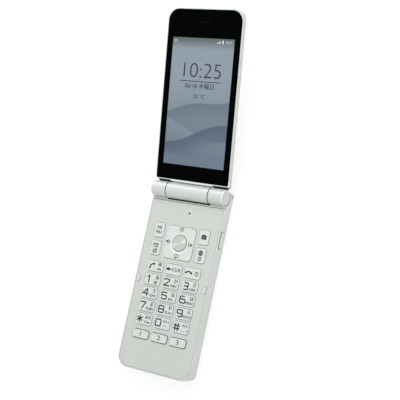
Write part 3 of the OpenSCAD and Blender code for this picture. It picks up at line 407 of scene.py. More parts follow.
def bare_face(paint):
    """Painted shade: 1 in the key openings, the seam at the step, the line round the plate and the pinhole."""
    x, y, z = paint.parts(paint.place)
    key_field = paint.under(x.size(), KEYS_SIDE) * paint.between(y, KEYS_FOOT, STEP + GROOVE_START)
    openings = key_field * paint.between(z, FACE - OPENING_DEPTH, FACE - SHADE_INSET)
    groove = paint.between(y, STEP + GROOVE_START, STEP + GROOVE_END)
    seam = groove * paint.between(z, FACE - GROOVE_FLOOR, FACE - GROOVE_RIM)
    edge = CORNER_R - PLATE_INSET
    plate = paint.between(from_corner(x, y), edge - LINE_HALF, edge + LINE_HALF)
    plate_line = LINE_SHARE * plate * paint.under(y, STEP) * paint.over(z, FACE - FACE_SKIN)
    from_pin = length(x - PINHOLE_X * MM, y - PINHOLE_Y * MM)
    pinhole = paint.under(from_pin, PINHOLE_EDGE) * paint.over(z, FACE - OPENING_DEPTH)
    return openings.most(seam).most(plate_line).most(pinhole)


print("Plate line", PLATE_INSET, "mm inside the outline")

# %% Masks of the stops, the side key and the port
STOP_W = 1.9
STOP_GAP = 0.3
STOP_DEPTH = 1.0
STOP_SHARE = 0.5
SIDE_KEY_LEN = 10.0
SIDE_SLOT_W = 4.2
SIDE_SLOT_GAP = 0.4
WALL_DEPTH = 3.0
PORT_HALF_W = 5.0
PORT_LOW, PORT_HIGH = 2.5, 6.1
PORT_LIP, PORT_DEPTH = 0.55, 5.0
stop_low, stop_high = reach("lid_stops")
side_key_middle = sum(reach("side_key"), Vector()) / 2


def from_bar(across, y, low, high, width):
    """Distance from the middle line of a bar with round ends, which runs along Y from low to high."""
    half = (high - low - width) / 2
    along = ((y - (low + high) / 2 * MM).size() - half * MM).most(0.0)
    return length(across, along)


def bare_slots(paint):
    """Painted shade: 1 round the stops, in the side key's slot and in the port."""
    x, y, z = paint.parts(paint.place)
    side = x.size()
    from_stop = from_bar(side - (stop_high.x - STOP_W / 2) * MM, y, stop_low.y, stop_high.y, STOP_W)
    pocket = STOP_SHARE * paint.under(from_stop, STOP_W / 2 + STOP_GAP)
    stops = pocket * paint.between(z, FACE - STOP_DEPTH, FACE + FACE_SKIN)
    slot_half = SIDE_KEY_LEN / 2 + SIDE_SLOT_GAP
    slot_low, slot_high = side_key_middle.y - slot_half, side_key_middle.y + slot_half
    from_slot = from_bar(z - side_key_middle.z * MM, y, slot_low, slot_high, SIDE_SLOT_W)
    slot = paint.under(from_slot, SIDE_SLOT_W / 2) * paint.over(x, HALF_W - WALL_DEPTH)
    port_y = paint.between(y, BOTTOM + PORT_LIP, BOTTOM + PORT_DEPTH)
    port = paint.under(side, PORT_HALF_W) * port_y * paint.between(z, PORT_LOW, PORT_HIGH)
    return stops.most(slot).most(port)


print("Side key's slot about", [round(part, 1) for part in side_key_middle], "mm")

# %% Masks of the hinge
TROUGH_GAP = 0.85
TROUGH_END = 0.05
ROOT_GAP = 1.5
LEDGE_BELOW, LEDGE_ABOVE = 0.25, 0.05
NOTCH_GAP = 1.4
NOTCH_SIDE = 0.02
RIM_DEPTH = 4.0
RIM_LAP = 0.08


def bare_hinge(paint):
    """Painted shade: 1 in the trough under the barrel and on the lid's ledge over the end barrels."""
    x, y, z = paint.parts(paint.place)
    lid_y, lid_z = paint.parts(paint.lid_place())[1:]
    side = x.size()
    from_axis = length(y - lid_axis.y, z - lid_axis.z)
    trough = paint.under(from_axis, BARREL_R + TROUGH_GAP) * paint.under(side, cap_low.x + TROUGH_END)
    root = paint.over(side, BARREL_HALF) * paint.between(lid_y, 0, BARREL_R + ROOT_GAP)
    ledge = root * paint.between(lid_z, RIM_BACK - LEDGE_BELOW, RIM_BACK + LEDGE_ABOVE)
    return trough.most(ledge)


def bare_casing(paint):
    """1 wherever painted shade darkens a casing."""
    return bare_face(paint).most(bare_slots(paint)).most(bare_hinge(paint))


def bare_rim(paint):
    """Painted shade: 1 on the lid's front frame where it stands back over the end barrels."""
    side = paint.parts(paint.place)[0].size()
    lid_y, lid_z = paint.parts(paint.lid_place())[1:]
    notch = paint.over(side, BARREL_HALF + NOTCH_SIDE) * paint.between(lid_y, 0, BARREL_R + NOTCH_GAP)
    return notch * paint.between(lid_z, RIM_TOP - RIM_DEPTH, RIM_TOP - RIM_LAP)


print("Trough", round(BARREL_R + TROUGH_GAP, 2), "mm about the hinge axis")

# %% [markdown]
# ## Pearl paint for the casings
# The casings are moulded plastic under a pale silver-green pearl paint: a base colour, fine
# flakes that catch the light one by one, and a thin satin lacquer with a hint of orange peel.
# A flat colour would look like unpainted plastic, so noise at three scales does the three layers:
# clouds of hand wear, flakes of a tenth of a millimetre, and the lacquer's slow ripple. Light is also
# painted in: the casing round the key plate gets a lighter tone that makes up for the light its walls
# miss, the foot of the lid's rim gets a painted highlight, and the narrow places get painted shade.

# %% Pearl paint
# The dark grey of painted shade in the narrow places, on the casings, keys and barrels.
PAINTED_SHADE_TONE = colour(44, 46, 46)
WEAR, FLAKE, RIPPLE = 22, 0.12, 0.9
RIPPLE_DEPTH = 0.004
RIM_EDGE_LOW, RIM_EDGE_HIGH = 0.5, 0.2
FOOT_START, FOOT_END = 8, 11
PLATE_BELOW, PLATE_ABOVE = 0.5, 1.0


def lid_foot(paint):
    """Painted highlight: 1 on the foot of the lid's rim in front, 0 on its walls and further up."""
    lid_y, lid_z = paint.parts(paint.lid_place())[1:]
    front = paint.ramp(lid_z, (RIM_TOP - RIM_EDGE_LOW) * MM, (RIM_TOP - RIM_EDGE_HIGH) * MM)
    return front * (1 - paint.ramp(lid_y, FOOT_START * MM, FOOT_END * MM))


def face_plate(paint):
    """1 on the plate that carries the keys, 0 on the casing round it, which is painted lighter for the light its
    walls miss.
    """
    x, y, z = paint.parts(paint.place)
    edge = CORNER_R - PLATE_INSET
    inside = 1 - paint.ramp(from_corner(x, y), edge * MM, (edge + LINE_HALF) * MM)
    return inside * paint.between(z, FACE - PLATE_BELOW, FACE + PLATE_ABOVE)


def pearl_paint(name, tone, wall_tone, gloss, front_places, painted_shade_places):
    """Painted plastic with fine flakes under satin lacquer. A higher gloss is a wetter coat."""
    paint = Finish(name, {"Coat Roughness": 0.22, "Specular IOR Level": 0.4})
    wear = paint.noise(WEAR, 4.0)
    flakes = paint.noise(FLAKE, 1.0)
    glint = paint.ramp(flakes, 0.56, 0.74)
    # Painted light: front_places picks the tone, elsewhere the wall tone; one of them is the lifted walls or the
    # rim's highlight.
    coat = paint.mix(front_places(paint), wall_tone, tone)
    body = paint.mix(0.05 * wear, coat, BLACK)
    painted = paint.mix(0.2 * glint, body, WHITE)
    # Painted shade: the dark grey where the mask of narrow places gives 1.
    painted_shade = painted_shade_places(paint)
    paint.feed({"Base Color": paint.mix(painted_shade, painted, PAINTED_SHADE_TONE),
                "Roughness": 0.5 - 0.12 * glint - 0.1 * wear + 0.2 * painted_shade,
                "Coat Weight": gloss - gloss * painted_shade})
    paint.relief(paint.noise(RIPPLE, 2.0), RIPPLE_DEPTH)
    return paint.material


SHELL_TONE = colour(205, 210, 204)
# Painted light: the rim's foot tone is a painted highlight, and the casing round the key plate is painted lighter
# for the light its walls miss.
RIM_FOOT_HIGHLIGHT_TONE = colour(234, 237, 234)
WALL_LIFT_TONE = colour(211, 215, 211)
LID_WALL_TONE = colour(204, 208, 204)
shell_finish = pearl_paint("pearl_paint", SHELL_TONE, WALL_LIFT_TONE, 0.12, face_plate, bare_casing)
rim_finish = pearl_paint("rim_paint", RIM_FOOT_HIGHLIGHT_TONE, LID_WALL_TONE, 0.25, lid_foot, bare_rim)
print("Pearl paint mixed for the casings and the lid's rim")

# %% [markdown]
# ## Silver lacquer for the barrels
# The hinge barrels are the phone's jewellery. They are brighter than the casings and glossy, so
# that long highlights run along them. The same paint with more coat would do, but the real ones
# also show drawn streaks along their length, which are noise stretched along the hinge's axis.
# Their faces at the two joints get a dark painted shade, which draws the dark rings. At the outer
# ends the bevel gets a painted highlight and the flat a painted shade, with a fine line of painted
# shade between them.

# %% Barrel lacquer
JOINT_LAP = 0.06
BEVEL_W = 0.8
SHADE_LINE_START, SHADE_LINE_END = 0.15, 0.02
STREAK_LEN, STREAK_W, STREAK_DEPTH = 6.0, 0.25, 0.003
BARREL_WEAR = 9


def stretched(finish, along, across):
    """Object coordinates squeezed so that noise on them runs along X."""
    sockets = {"Vector": finish.place, "Scale": (across / along, 1.0, 1.0)}
    return finish.node("ShaderNodeMapping", {}, sockets)


def barrel_lacquer(tone):
    """Glossy silver white with faint streaks along the hinge, painted shade at the joints and painted light on the
    ends.
    """
    lacquer = Finish("barrel_lacquer", {"Coat Roughness": 0.1, "Metallic": 0.15})
    streaks = lacquer.noise(STREAK_W, 3.0, stretched(lacquer, STREAK_LEN, STREAK_W))
    wear = lacquer.noise(BARREL_WEAR, 3.0)
    side = lacquer.parts(lacquer.place)[0].size()
    # Painted shade at the joints and on the fine end line; painted highlight on the bevel, painted shade on the
    # flat.
    joint = lacquer.between(side, BARREL_HALF - JOINT_LAP, cap_low.x + JOINT_LAP)
    bevel = lacquer.between(side, cap_high.x - BEVEL_W, cap_high.x - SHADE_LINE_START)
    line = lacquer.between(side, cap_high.x - SHADE_LINE_START, cap_high.x - SHADE_LINE_END)
    flat = lacquer.over(side, cap_high.x - SHADE_LINE_END)
    drawn = lacquer.mix(streaks, shade(tone, 0.92), shade(tone, 1.07))
    turned = lacquer.mix(flat, lacquer.mix(bevel, drawn, shade(tone, 1.2)), shade(tone, 0.9))
    painted_shade = joint.most(0.7 * line)
    lacquer.feed({"Base Color": lacquer.mix(painted_shade, turned, PAINTED_SHADE_TONE), "Roughness": 0.26 + 0.16 * wear,
                  "Coat Weight": 0.4 - 0.4 * painted_shade})
    lacquer.relief(streaks, STREAK_DEPTH)
    return lacquer.material


barrel_finish = barrel_lacquer(colour(208, 213, 210))
print("Barrel lacquer mixed")

# %% [markdown]
# ## Keys
# Each key is a cap of pale moulded resin with a hard clear coat. It is a little lighter than
# the casing. The resin is slightly cloudy, and fingers polish the middle of the coat, so the
# roughness follows broad noise and the colour fine noise. The coat ends at the face, and the skirt
# below it and the bore of the direction pad get a dark painted shade. The dish round that bore
# gets a pale painted highlight all round.

# %% Key resin
PAD_LOW, PAD_HIGH = reach("dpad")
SELECT_R = (reach("select_key")[1].x - reach("select_key")[0].x) / 2
BORE_GAP = 0.23
DISH_W = 1.3
SKIRT_SHADE_DROP = 0.03
CLOUD, GRAIN, GRAIN_DEPTH = 3.5, 0.08, 0.002


def from_pad(finish):
    """Place of a point from the middle of the direction pad: across, up and its distance."""
    middle = (PAD_LOW + PAD_HIGH) / 2 * MM
    sockets = {"Vector": finish.place, "Location": tuple(-middle)}
    x, y = finish.parts(finish.node("ShaderNodeMapping", {}, sockets))[:2]
    return x, y, length(x, y)


def face_key_skirt(resin):
    """Painted shade: 1 below the face and in the bore of the direction pad."""
    below = resin.under(resin.parts(resin.place)[2], FACE - SKIRT_SHADE_DROP)
    return below.most(resin.under(from_pad(resin)[2], SELECT_R + BORE_GAP))


def side_key_skirt(resin):
    """Painted shade: 1 inside the wall."""
    return resin.under(resin.parts(resin.place)[0], HALF_W - SHADE_INSET)


def pad_dish(resin):
    """Painted highlight: 1 in the dish round the direction pad's bore."""
    return resin.between(from_pad(resin)[2], SELECT_R, SELECT_R + DISH_W)


def key_resin(name, tone, skirt_shade_places):
    """Hard-coated resin, a little cloudy, with painted shade on the skirt and a painted highlight in the pad's
    dish.
    """
    resin = Finish(name, {"Coat Roughness": 0.18, "Specular IOR Level": 0.4})
    cloud = resin.noise(CLOUD, 3.0)
    grain = resin.noise(GRAIN, 1.0)
    skirt = skirt_shade_places(resin)
    base = resin.mix(cloud, shade(tone, 0.98), shade(tone, 1.02))
    # Painted highlight: the dish round the pad's bore is mixed towards white.
    coated = resin.mix((0.12 * grain).most(0.45 * pad_dish(resin)), base, WHITE)
    # Painted shade: the dark grey where the skirt mask gives 1.
    resin.feed({"Base Color": resin.mix(skirt, coated, PAINTED_SHADE_TONE), "Roughness": 0.34 + 0.2 * cloud,
                "Coat Weight": 0.2 - 0.2 * skirt})
    resin.relief(grain, GRAIN_DEPTH)
    return resin.material


key_finish = key_resin("key_resin", colour(212, 218, 213), face_key_skirt)
side_key_finish = key_resin("side_key_resin", colour(212, 216, 212), side_key_skirt)
print("Key resin mixed")

# %% [markdown]
# ## The spun select key
# The round key in the middle is turned on a lathe, so its face is covered by fine circles. Light
# on such circles gathers into bright wedges across the middle. The circles are a real relief
# here, rings of a twentieth of a millimetre, and the wedges are also painted into the colour as a
# highlight, because the fine lines are thinner than a pixel from where the camera stands. A fine
# dark ring of painted shade near the edge stands for the shadow at the key's rim.

# %% Spun metal
TURNING, TURNING_DEPTH = 0.05, 0.0012
RIM_SHADE_START, RIM_SHADE_END = 0.25, 0.1


def spun_metal(tone, towards):
    """Turned metal about the pad's middle, with painted highlight wedges towards an angle in degrees and a ring of
    painted shade near its edge.
    """
    metal = Finish("spun_metal", {"Metallic": 0.4, "Specular IOR Level": 0.4})
    x, y, radius = from_pad(metal)
    angle = x.maths("ARCTAN2", y, x)
    turning = radius.maths("SINE", radius * (2 * math.pi / (TURNING * MM)))
    wedge_highlight = angle.maths("COSINE", (angle - math.radians(towards)) * 2) * 0.5 + 0.5
    sockets = {"W": angle * 5.0, "Scale": 3.0}
    streak = metal.node("ShaderNodeTexNoise", {"noise_dimensions": "1D"}, sockets)
    # Painted highlight: the bright wedges and streaks go into the base colour.
    light = metal.ramp(wedge_highlight * 0.75 + streak * 0.25, 0.68, 0.94)
    spun = metal.mix(light, shade(tone, 0.92), shade(tone, 1.28))
    # Painted shade: a dark ring near the key's edge.
    rim = metal.between(radius, SELECT_R - RIM_SHADE_START, SELECT_R - RIM_SHADE_END)
    metal.feed({"Base Color": metal.mix(0.7 * rim, spun, PAINTED_SHADE_TONE), "Roughness": 0.32 + 0.1 * streak})
    metal.relief(turning * 0.5 + 0.5, TURNING_DEPTH)
    return metal.material


select_finish = spun_metal(colour(200, 205, 199), towards=27)
print("Spun metal made for the select key")

# %% [markdown]
# ## Black glass and windows
# The lid's glass is printed black behind, and it shows almost nothing but a faint sheen. Glass
# mirrors about four per cent, and in a white studio that would look grey. This glass has a
# coating against glare, so its specular level is low. Finger smudges are noise in the roughness.

# %% Black glass
SMUDGE, DUST = 14, 0.5


def black_glass(name, tone):
    """Coated glass over black print, with faint smudges."""
    glass = Finish(name, {"Specular IOR Level": 0.008})
    smudge = glass.noise(SMUDGE, 4.0)
    dust = glass.ramp(glass.noise(DUST, 1.0), 0.74, 0.8)
    glass.feed({"Base Color": glass.mix(0.02 * dust, tone, WHITE),
                "Roughness": 0.05 + 0.16 * glass.ramp(smudge, 0.5, 0.8)})
    return glass.material


glass_finish = black_glass("black_glass", colour(2, 5, 4))
print("Black glass made")

# %% [markdown]
# ## What lies inside and behind
# The pieces that show through gaps, on the rear or when the battery cover is off have finishes
# of their own: rolled steel, black moulding, a frosted lamp window, copper film, the battery's
# sleeve, the green board and soft rubber. Each is one base colour with the grain that its
# making leaves, so one recipe with a few choices serves all of them.

# %% Workshop finishes
def workshop_finish(name, tone, grain, spread, rough, metallic=0.0, streak=1.0):
    """A plain finish: grain in millimetres, its colour spread, roughness and streaks along X."""
    made = Finish(name, {"Metallic": metallic})
    lines = made.noise(grain, 3.0, stretched(made, streak, 1.0))
    broad = made.noise(grain * 30, 2.0)
    base = made.mix(lines, shade(tone, 1 - spread), shade(tone, 1 + spread))
    made.feed({"Base Color": made.mix(0.3 * broad, base, shade(tone, 0.9)),
               "Roughness": rough + 0.15 * broad})
    made.relief(lines, 0.02 * grain)
    return made.material


FINISHES = {
    "shell": shell_finish,
    "rim": rim_finish,
    "barrel": barrel_finish,
    "key": key_finish,
    "side_key": side_key_finish,
    "select": select_finish,
    "glass": glass_finish,
    "screen": workshop_finish("panel_tin", colour(150, 154, 158), 0.2, 0.1, 0.35, 0.8, 8.0),
    "metal": workshop_finish("rolled_steel", colour(180, 181, 184), 0.12, 0.12, 0.28, 1.0, 10.0),
    "black": workshop_finish("black_moulding", colour(38, 39, 40), 0.15, 0.25, 0.55),
    "light_window": workshop_finish("frosted_window", colour(240, 236, 216), 0.3, 0.05, 0.3),
    "flex": workshop_finish("copper_film", colour(206, 170, 104), 0.4, 0.08, 0.35, 0.5, 4.0),
    "battery": workshop_finish("battery_sleeve", colour(172, 174, 178), 0.5, 0.06, 0.4, 0.4),
    "board": workshop_finish("circuit_board", colour(44, 104, 70), 0.6, 0.2, 0.45, 0.0, 5.0),
    "rubber": workshop_finish("key_mat_rubber", colour(92, 94, 96), 0.2, 0.12, 0.7),
    "stop": workshop_finish("stop_rubber", colour(217, 222, 217), 0.2, 0.04, 0.6),
}
for row in frame["record"]["subparts"]:
    slots = frame["nodes"][row["node"]].data.materials
    slots.clear()
    slots.append(FINISHES[row["material_slot"]])

# %% [markdown]
# ## Thin pieces, drawn flat in millimetres
# Ink, screen marks and recesses are thin flat shapes. They are drawn about the origin with one
# unit to the millimetre, because Blender's fill of letters loses corners on very small shapes.
# The two shapes to start from are a bar and a disc. Inset and bisect make rings and arcs of them.

# %% Bars and discs
CORNER_STEPS = 4


def active_piece():
    """The object that the last operator made."""
    return bpy.context.object


def bar(width, height, x=0.0, y=0.0, turn=0.0, corner=0.0):
    """A rectangle about x, y, turned by degrees, with rounded corners."""
    bpy.ops.object.select_all(action="DESELECT")
    bpy.ops.mesh.primitive_plane_add(size=1, location=(x, y, 0), rotation=(0, 0, math.radians(turn)))
    piece = active_piece()
    piece.scale = (width, height, 1)
    bpy.ops.object.transform_apply(location=True, rotation=True, scale=True)
    if corner:
        bpy.ops.object.mode_set(mode="EDIT")
        bpy.ops.mesh.select_all(action="SELECT")
        bpy.ops.mesh.bevel(offset=corner, offset_type="OFFSET", segments=CORNER_STEPS, affect="VERTICES")
        bpy.ops.object.mode_set(mode="OBJECT")
    return piece


def disc(radius, x=0.0, y=0.0, corners=40, turn=0.0):
    """A filled circle, or a polygon of few corners."""
    bpy.ops.object.select_all(action="DESELECT")
    bpy.ops.mesh.primitive_circle_add(vertices=corners, radius=radius, fill_type="NGON",
                                      location=(x, y, 0), rotation=(0, 0, math.radians(turn)))
    bpy.ops.object.transform_apply(location=True, rotation=True, scale=True)
    return active_piece()


print("Bars and discs ready")


# %% Rings and cuts
def outline(piece, width):
    """Keeps only a line of that width round a filled shape."""
    bpy.context.view_layer.objects.active = piece
    bpy.ops.object.mode_set(mode="EDIT")
    bpy.ops.mesh.select_all(action="SELECT")
    bpy.ops.mesh.inset(thickness=width)
    bpy.ops.mesh.delete(type="FACE")
    bpy.ops.object.mode_set(mode="OBJECT")
    return piece


def keep_side(piece, point, direction):
    """Cuts a shape along a line through point and keeps the side that direction points to."""
    bpy.context.view_layer.objects.active = piece
    bpy.ops.object.mode_set(mode="EDIT")
    bpy.ops.mesh.select_all(action="SELECT")
    bpy.ops.mesh.bisect(plane_co=(*point, 0), plane_no=(*direction, 0), clear_inner=True)
    bpy.ops.object.mode_set(mode="OBJECT")
    return piece


print("Rings and cuts ready")

# %% [markdown]
# ## Letters, and marks laid down
# Letters are text made into a mesh. The text's own offset can thin strokes, but fills narrow
# letters when it thickens them, so bold letters are printed twice, the second time a little
# beside the first. Where two marks cross, their faces must not lie in one plane, or the renderer
# cannot tell which one is on top: each mark lies a hair above the one before it. Once joined,
# they get their thickness and are scaled down to metres on the surface that carries them. Half of
# the thickness lies below that surface, so nothing floats.

# %% Letters
COAT = 0.002
CAPITAL_SHARE = 0.7
CURVE_STEPS = 5


def letters(word, height, x=0.0, y=0.0, weight=0.0, width=1.0):
    """Characters about x, y, whose capitals have that height. A weight below 0 thins the strokes."""
    bpy.ops.object.select_all(action="DESELECT")
    bpy.ops.object.text_add(location=(x, y, 0))
    piece = active_piece()
    piece.data.body = word
    piece.data.align_x = "CENTER"
    piece.data.align_y = "CENTER"
    piece.data.size = height / CAPITAL_SHARE
    piece.data.offset = min(weight, 0)
    piece.data.resolution_u = CURVE_STEPS
    piece.scale.x = width
    bpy.ops.object.convert(target="MESH")
    bpy.ops.object.transform_apply(location=True, rotation=True, scale=True)
    if weight > 0:
        bpy.ops.object.mode_set(mode="EDIT")
        bpy.ops.mesh.select_all(action="SELECT")
        bpy.ops.mesh.duplicate()
        bpy.ops.transform.translate(value=(weight, weight / 2, COAT / 2))
        bpy.ops.object.mode_set(mode="OBJECT")
    return active_piece()


print("Letters ready")


# %% Marks laid down
MERGE_GAP = 0.001


def lay_down(name, marks, thickness, place, material):
    """Joins flat marks, thickens them and lays them down at a place given as a matrix."""
    bpy.ops.object.select_all(action="DESELECT")
    for count, mark in enumerate(marks):
        mark.location.z = COAT * count
        mark.select_set(True)
    bpy.context.view_layer.objects.active = marks[0]
    if len(marks) > 1:
        bpy.ops.object.join()
    piece = active_piece()
    piece.name = name
    bpy.ops.object.mode_set(mode="EDIT")
    bpy.ops.mesh.select_all(action="SELECT")
    bpy.ops.mesh.remove_doubles(threshold=MERGE_GAP)
    bpy.ops.object.mode_set(mode="OBJECT")
    solid = piece.modifiers.new("thickness", "SOLIDIFY")
    solid.thickness = thickness
    solid.offset = 0
    bpy.ops.object.modifier_apply(modifier=solid.name)
    piece.matrix_world = place @ Matrix.Scale(MM, 4)
    bpy.ops.object.transform_apply(location=True, rotation=True, scale=True)
    piece.data.materials.clear()
    piece.data.materials.append(material)
    return piece


print("Each mark", COAT, "mm above the one before it")

# %% [markdown]
# ## The lit screen
# The picture is made by a panel behind the glass, whose glow fills a rectangle with sharp
# corners. It could be painted into the glass's own finish, but a separate thin sheet keeps the
# glass one material and the picture one piece. The picture is a plain one: soft slate-blue
# ribbons that sweep across a grey sky, each one a smooth edge along a sine curve. It is lit by
# emission, so it looks the same under any lamp, over a fine grid of pixels.

# %% Size and grid of the screen
SCREEN_BORDER = 1.2
SCREEN_SIDE = 1.5
SCREEN_FOOT = 2.4
SCREEN_SHEET = 0.04
SCREEN_CORNER = 0.15
PIXEL = 0.088

module_low, module_high = (corner / MM for corner in lid_box("lcd_module"))
glass_level = lid_box("display_glass")[1].z / MM
screen_w = module_high.x - module_low.x - 2 * SCREEN_SIDE
screen_low = module_low.y + SCREEN_FOOT
screen_h = module_high.y - SCREEN_BORDER - screen_low
screen_middle = screen_low + screen_h / 2


def on_glass(y):
    """Place of a flat drawing whose origin lies on the glass, y millimetres from the hinge."""
    return lid_frame @ Matrix.Translation(Vector((0, y, glass_level)) * MM)


def screen_place(finish):
    """Across and up the screen, each from 0 to 1."""
    x, y = finish.parts(finish.lid_place())[:2]
    return x / (screen_w * MM) + 0.5, (y - screen_low * MM) / (screen_h * MM)


def pixel_grid(finish, across, up):
    """1 on the pixels, 0 on the thin dark lines between them."""
    columns = across.maths("FRACT", across * (screen_w / PIXEL))
    rows = up.maths("FRACT", up * (screen_h / PIXEL))
    return finish.ramp(columns, 0.0, 0.2) * finish.ramp(rows, 0.0, 0.2)


print("Screen", round(screen_w, 1), "by", round(screen_h, 1), "mm")


# %% Screen picture
def screen_light():
    """Ribbons of slate blue on grey, as light."""
    glow = Finish("screen_light", {"Base Color": BLACK, "Emission Strength": 1.0, "Roughness": 0.08,
                                   "Specular IOR Level": 0.02})
    across, up = screen_place(glow)
    picture = glow.mix(glow.ramp(up, 0.1, 0.75), colour(116, 130, 145), colour(148, 160, 171))
    ribbons = [
        (0.40, 0.16, 0.035, 4.2, 0.4, colour(110, 126, 139), 0.20),
        (0.34, -0.10, 0.045, 3.4, 2.2, colour(132, 146, 159), 0.16),
        (0.20, 0.13, 0.030, 4.8, 4.0, colour(94, 108, 125), 0.22),
        (0.06, -0.08, 0.030, 4.0, 1.0, colour(112, 126, 141), 0.14),
    ]
    for height, slope, swing, waves, start, tone, depth in ribbons:
        curve = height + slope * across + swing * across.maths("SINE", across * waves + start)
        below = curve - up
        edge = glow.ramp(below, 0.0, 0.012)
        fade = 1 - glow.ramp(below, 0.0, depth) * 0.75
        picture = glow.mix(edge * fade, picture, tone)
    top_shadow = glow.ramp(up, 0.90, 1.0)
    picture = glow.mix(top_shadow * 0.85, picture, colour(92, 101, 100))
    glow.feed({"Emission Color": glow.mix(0.9 + 0.1 * pixel_grid(glow, across, up), BLACK, picture)})
    return glow.material


screen = lay_down("screen_picture", [bar(screen_w, screen_h, corner=SCREEN_CORNER)], SCREEN_SHEET,
                  on_glass(screen_middle), screen_light())
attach(screen, "lid")
print("Lit screen", round(screen_middle, 1), "mm up the lid")

# %% [markdown]
# ## A clock on the screen
# A standby screen shows the time in thin figures, a line under it, the date and a few status
# marks. They are letters and bars that stand a hair above the picture. The figures of the
# built-in font are too heavy for this, so a negative offset thins their strokes.

# %% Clock, date and status marks
MARK_SHEET = 0.06
MARK_WEIGHT = 0.08
STATUS_DROP = 2.0


def screen_ink(name, tone):
    """Dark or light pixels, with the same grid as the picture."""
    ink = Finish(name, {"Base Color": BLACK, "Emission Strength": 1.0, "Roughness": 0.08,
                        "Specular IOR Level": 0.02})
    across, up = screen_place(ink)
    ink.feed({"Emission Color": ink.mix(0.85 + 0.15 * pixel_grid(ink, across, up), BLACK, tone)})
    return ink.material


def status_marks():
    """Bars of reception, a battery, an envelope and the small time along the top edge."""
    top = screen_h / 2 - STATUS_DROP
    right = screen_w / 2
    steps = [bar(0.45, 0.5 + 0.35 * i, right - 11.5 + 0.7 * i, top - 0.6 + 0.175 * i) for i in range(4)]
    battery = [bar(1.0, 1.7, right - 7.6, top, corner=0.15), bar(0.5, 0.3, right - 7.6, top + 1.0)]
    envelope = [outline(bar(1.7, 1.2, -right + 2.0, top), 0.22)]
    return steps + battery + envelope + [letters("10:25", 1.5, right - 3.6, top)]


def clock_marks():
    """The time over a line, the date and the temperature."""
    time = letters("10:25", height=8.8, y=18.3, weight=-0.16, width=1.05)
    line = bar(27.5, 0.45, y=12.3)
    date = letters("06/18 木曜日", height=2.6, y=9.4, weight=MARK_WEIGHT)
    warmth = letters("25 °C", height=2.4, y=3.3, weight=MARK_WEIGHT)
    return [time, line, date, warmth]


clock_piece = lay_down("screen_clock", clock_marks(), MARK_SHEET, on_glass(screen_middle),
                       screen_ink("dark_pixels", colour(58, 68, 80)))
status_piece = lay_down("screen_status", status_marks(), MARK_SHEET, on_glass(screen_middle),
                        screen_ink("light_pixels", colour(222, 228, 230)))
for piece in (clock_piece, status_piece):
    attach(piece, "lid")
print("Clock and status marks:", len(clock_piece.data.polygons) + len(status_piece.data.polygons), "faces")

# %% [markdown]
# ## Key legends
# The legends are pad-printed: a soft pad carries a film of grey ink to each key. A broad square
# digit fills the left half of its key, and the small letters stand at the right. Every key moves
# by itself, so each has a legend of its own, joined from its marks, that rides on the key's body.
#
# The built-in font's digits are narrow and round. Broad ones are quickly drawn from two things:
# a straight stroke, and a bowl, which is a rounded bar that is inset, emptied and cut open.

# %% Legend ink and its place
INK_FILM = 0.03
INK_WEAR = 0.5


def legend_ink():
    """Dark grey print, thin where the pad pressed less."""
    ink = Finish("legend_ink", {"Specular IOR Level": 0.3})
    wear = ink.noise(INK_WEAR, 3.0)
    ink.feed({"Base Color": ink.mix(wear, colour(14, 15, 15), colour(36, 38, 37)),
              "Roughness": 0.4 + 0.2 * wear})
    return ink.material


ink_finish = legend_ink()


def print_on(node, marks):
    """Prints marks, drawn about a key's middle, on the top of the key."""
    low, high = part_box(node)
    top = Vector(((low.x + high.x) / 2, (low.y + high.y) / 2, high.z))
    legend = lay_down("legend_" + node, marks, INK_FILM, Matrix.Translation(top), ink_finish)
    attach(legend, node)
    return legend


print("Ink film", INK_FILM, "mm")

# %% Broad digits
STROKE = 0.72
DIGIT_W = 4.2
DIGIT_H = 4.6
BOWL_CORNER = 1.0


def stroke(x0, y0, x1, y1):
    """A straight stroke between two points."""
    turn = math.degrees(math.atan2(y1 - y0, x1 - x0))
    return bar(math.hypot(x1 - x0, y1 - y0), STROKE, (x0 + x1) / 2, (y0 + y1) / 2, turn)


def bowl(low, high, *cuts):
    """A ring as broad as a digit between two heights, with what each cut takes away."""
    ring = outline(bar(DIGIT_W, high - low, 0, (low + high) / 2, corner=BOWL_CORNER), STROKE)
    for point, direction in cuts:
        keep_side(ring, point, direction)
    return ring


def digit(sign):
    """A digit about the origin."""
    top = DIGIT_H / 2
    line = top - STROKE / 2
    half = STROKE / 2
    side = DIGIT_W / 2
    neck = 0.55 - side
    up, down, left, right = (0, 1), (0, -1), (-1, 0), (1, 0)
    shapes = {
        "0": lambda: [bowl(-top, top)],
        "1": lambda: [stroke(0.4, -top, 0.4, top), stroke(0.55, top - 0.35, -1.1, 1.0)],
        "2": lambda: [bowl(-0.6, top, ((0, 0.9), up)), stroke(side - 0.3, 1.0, 0.3 - side, -line),
                      stroke(-side, -line, side, -line)],
        "3": lambda: [bowl(-half, top, ((-1.1, 0), right)), bowl(-top, half, ((-1.1, 0), right))],
        "4": lambda: [stroke(0.9, -top, 0.9, top), stroke(0.75, line, -1.75, -0.9),
                      stroke(-side - 0.1, -0.9, side, -0.9)],
        "5": lambda: [stroke(0.25 - side, line, side - 0.25, line), stroke(neck, top, neck, 0),
                      bowl(-top, 0.6, ((0.45 - side, 0), right))],
        "6": lambda: [bowl(-top, top, ((0, 0), up), ((1.1, 0), left)), bowl(-top, 0.6)],
        "7": lambda: [stroke(-side, line, side, line), stroke(side - 0.4, line, -0.6, -top)],
        "8": lambda: [bowl(-half, top), bowl(-top, half)],
        "9": lambda: [bowl(-top, top, ((0, 0), down), ((-1.1, 0), right)), bowl(-0.6, top)],
    }
    return shapes[sign]()


print("Digits", DIGIT_W, "by", DIGIT_H, "mm")

# %% [markdown]
# Beside its digit each key has a kana above and a group of letters below, small and bold. Groups
# of four are set narrower, and the row of three kana is set smaller.

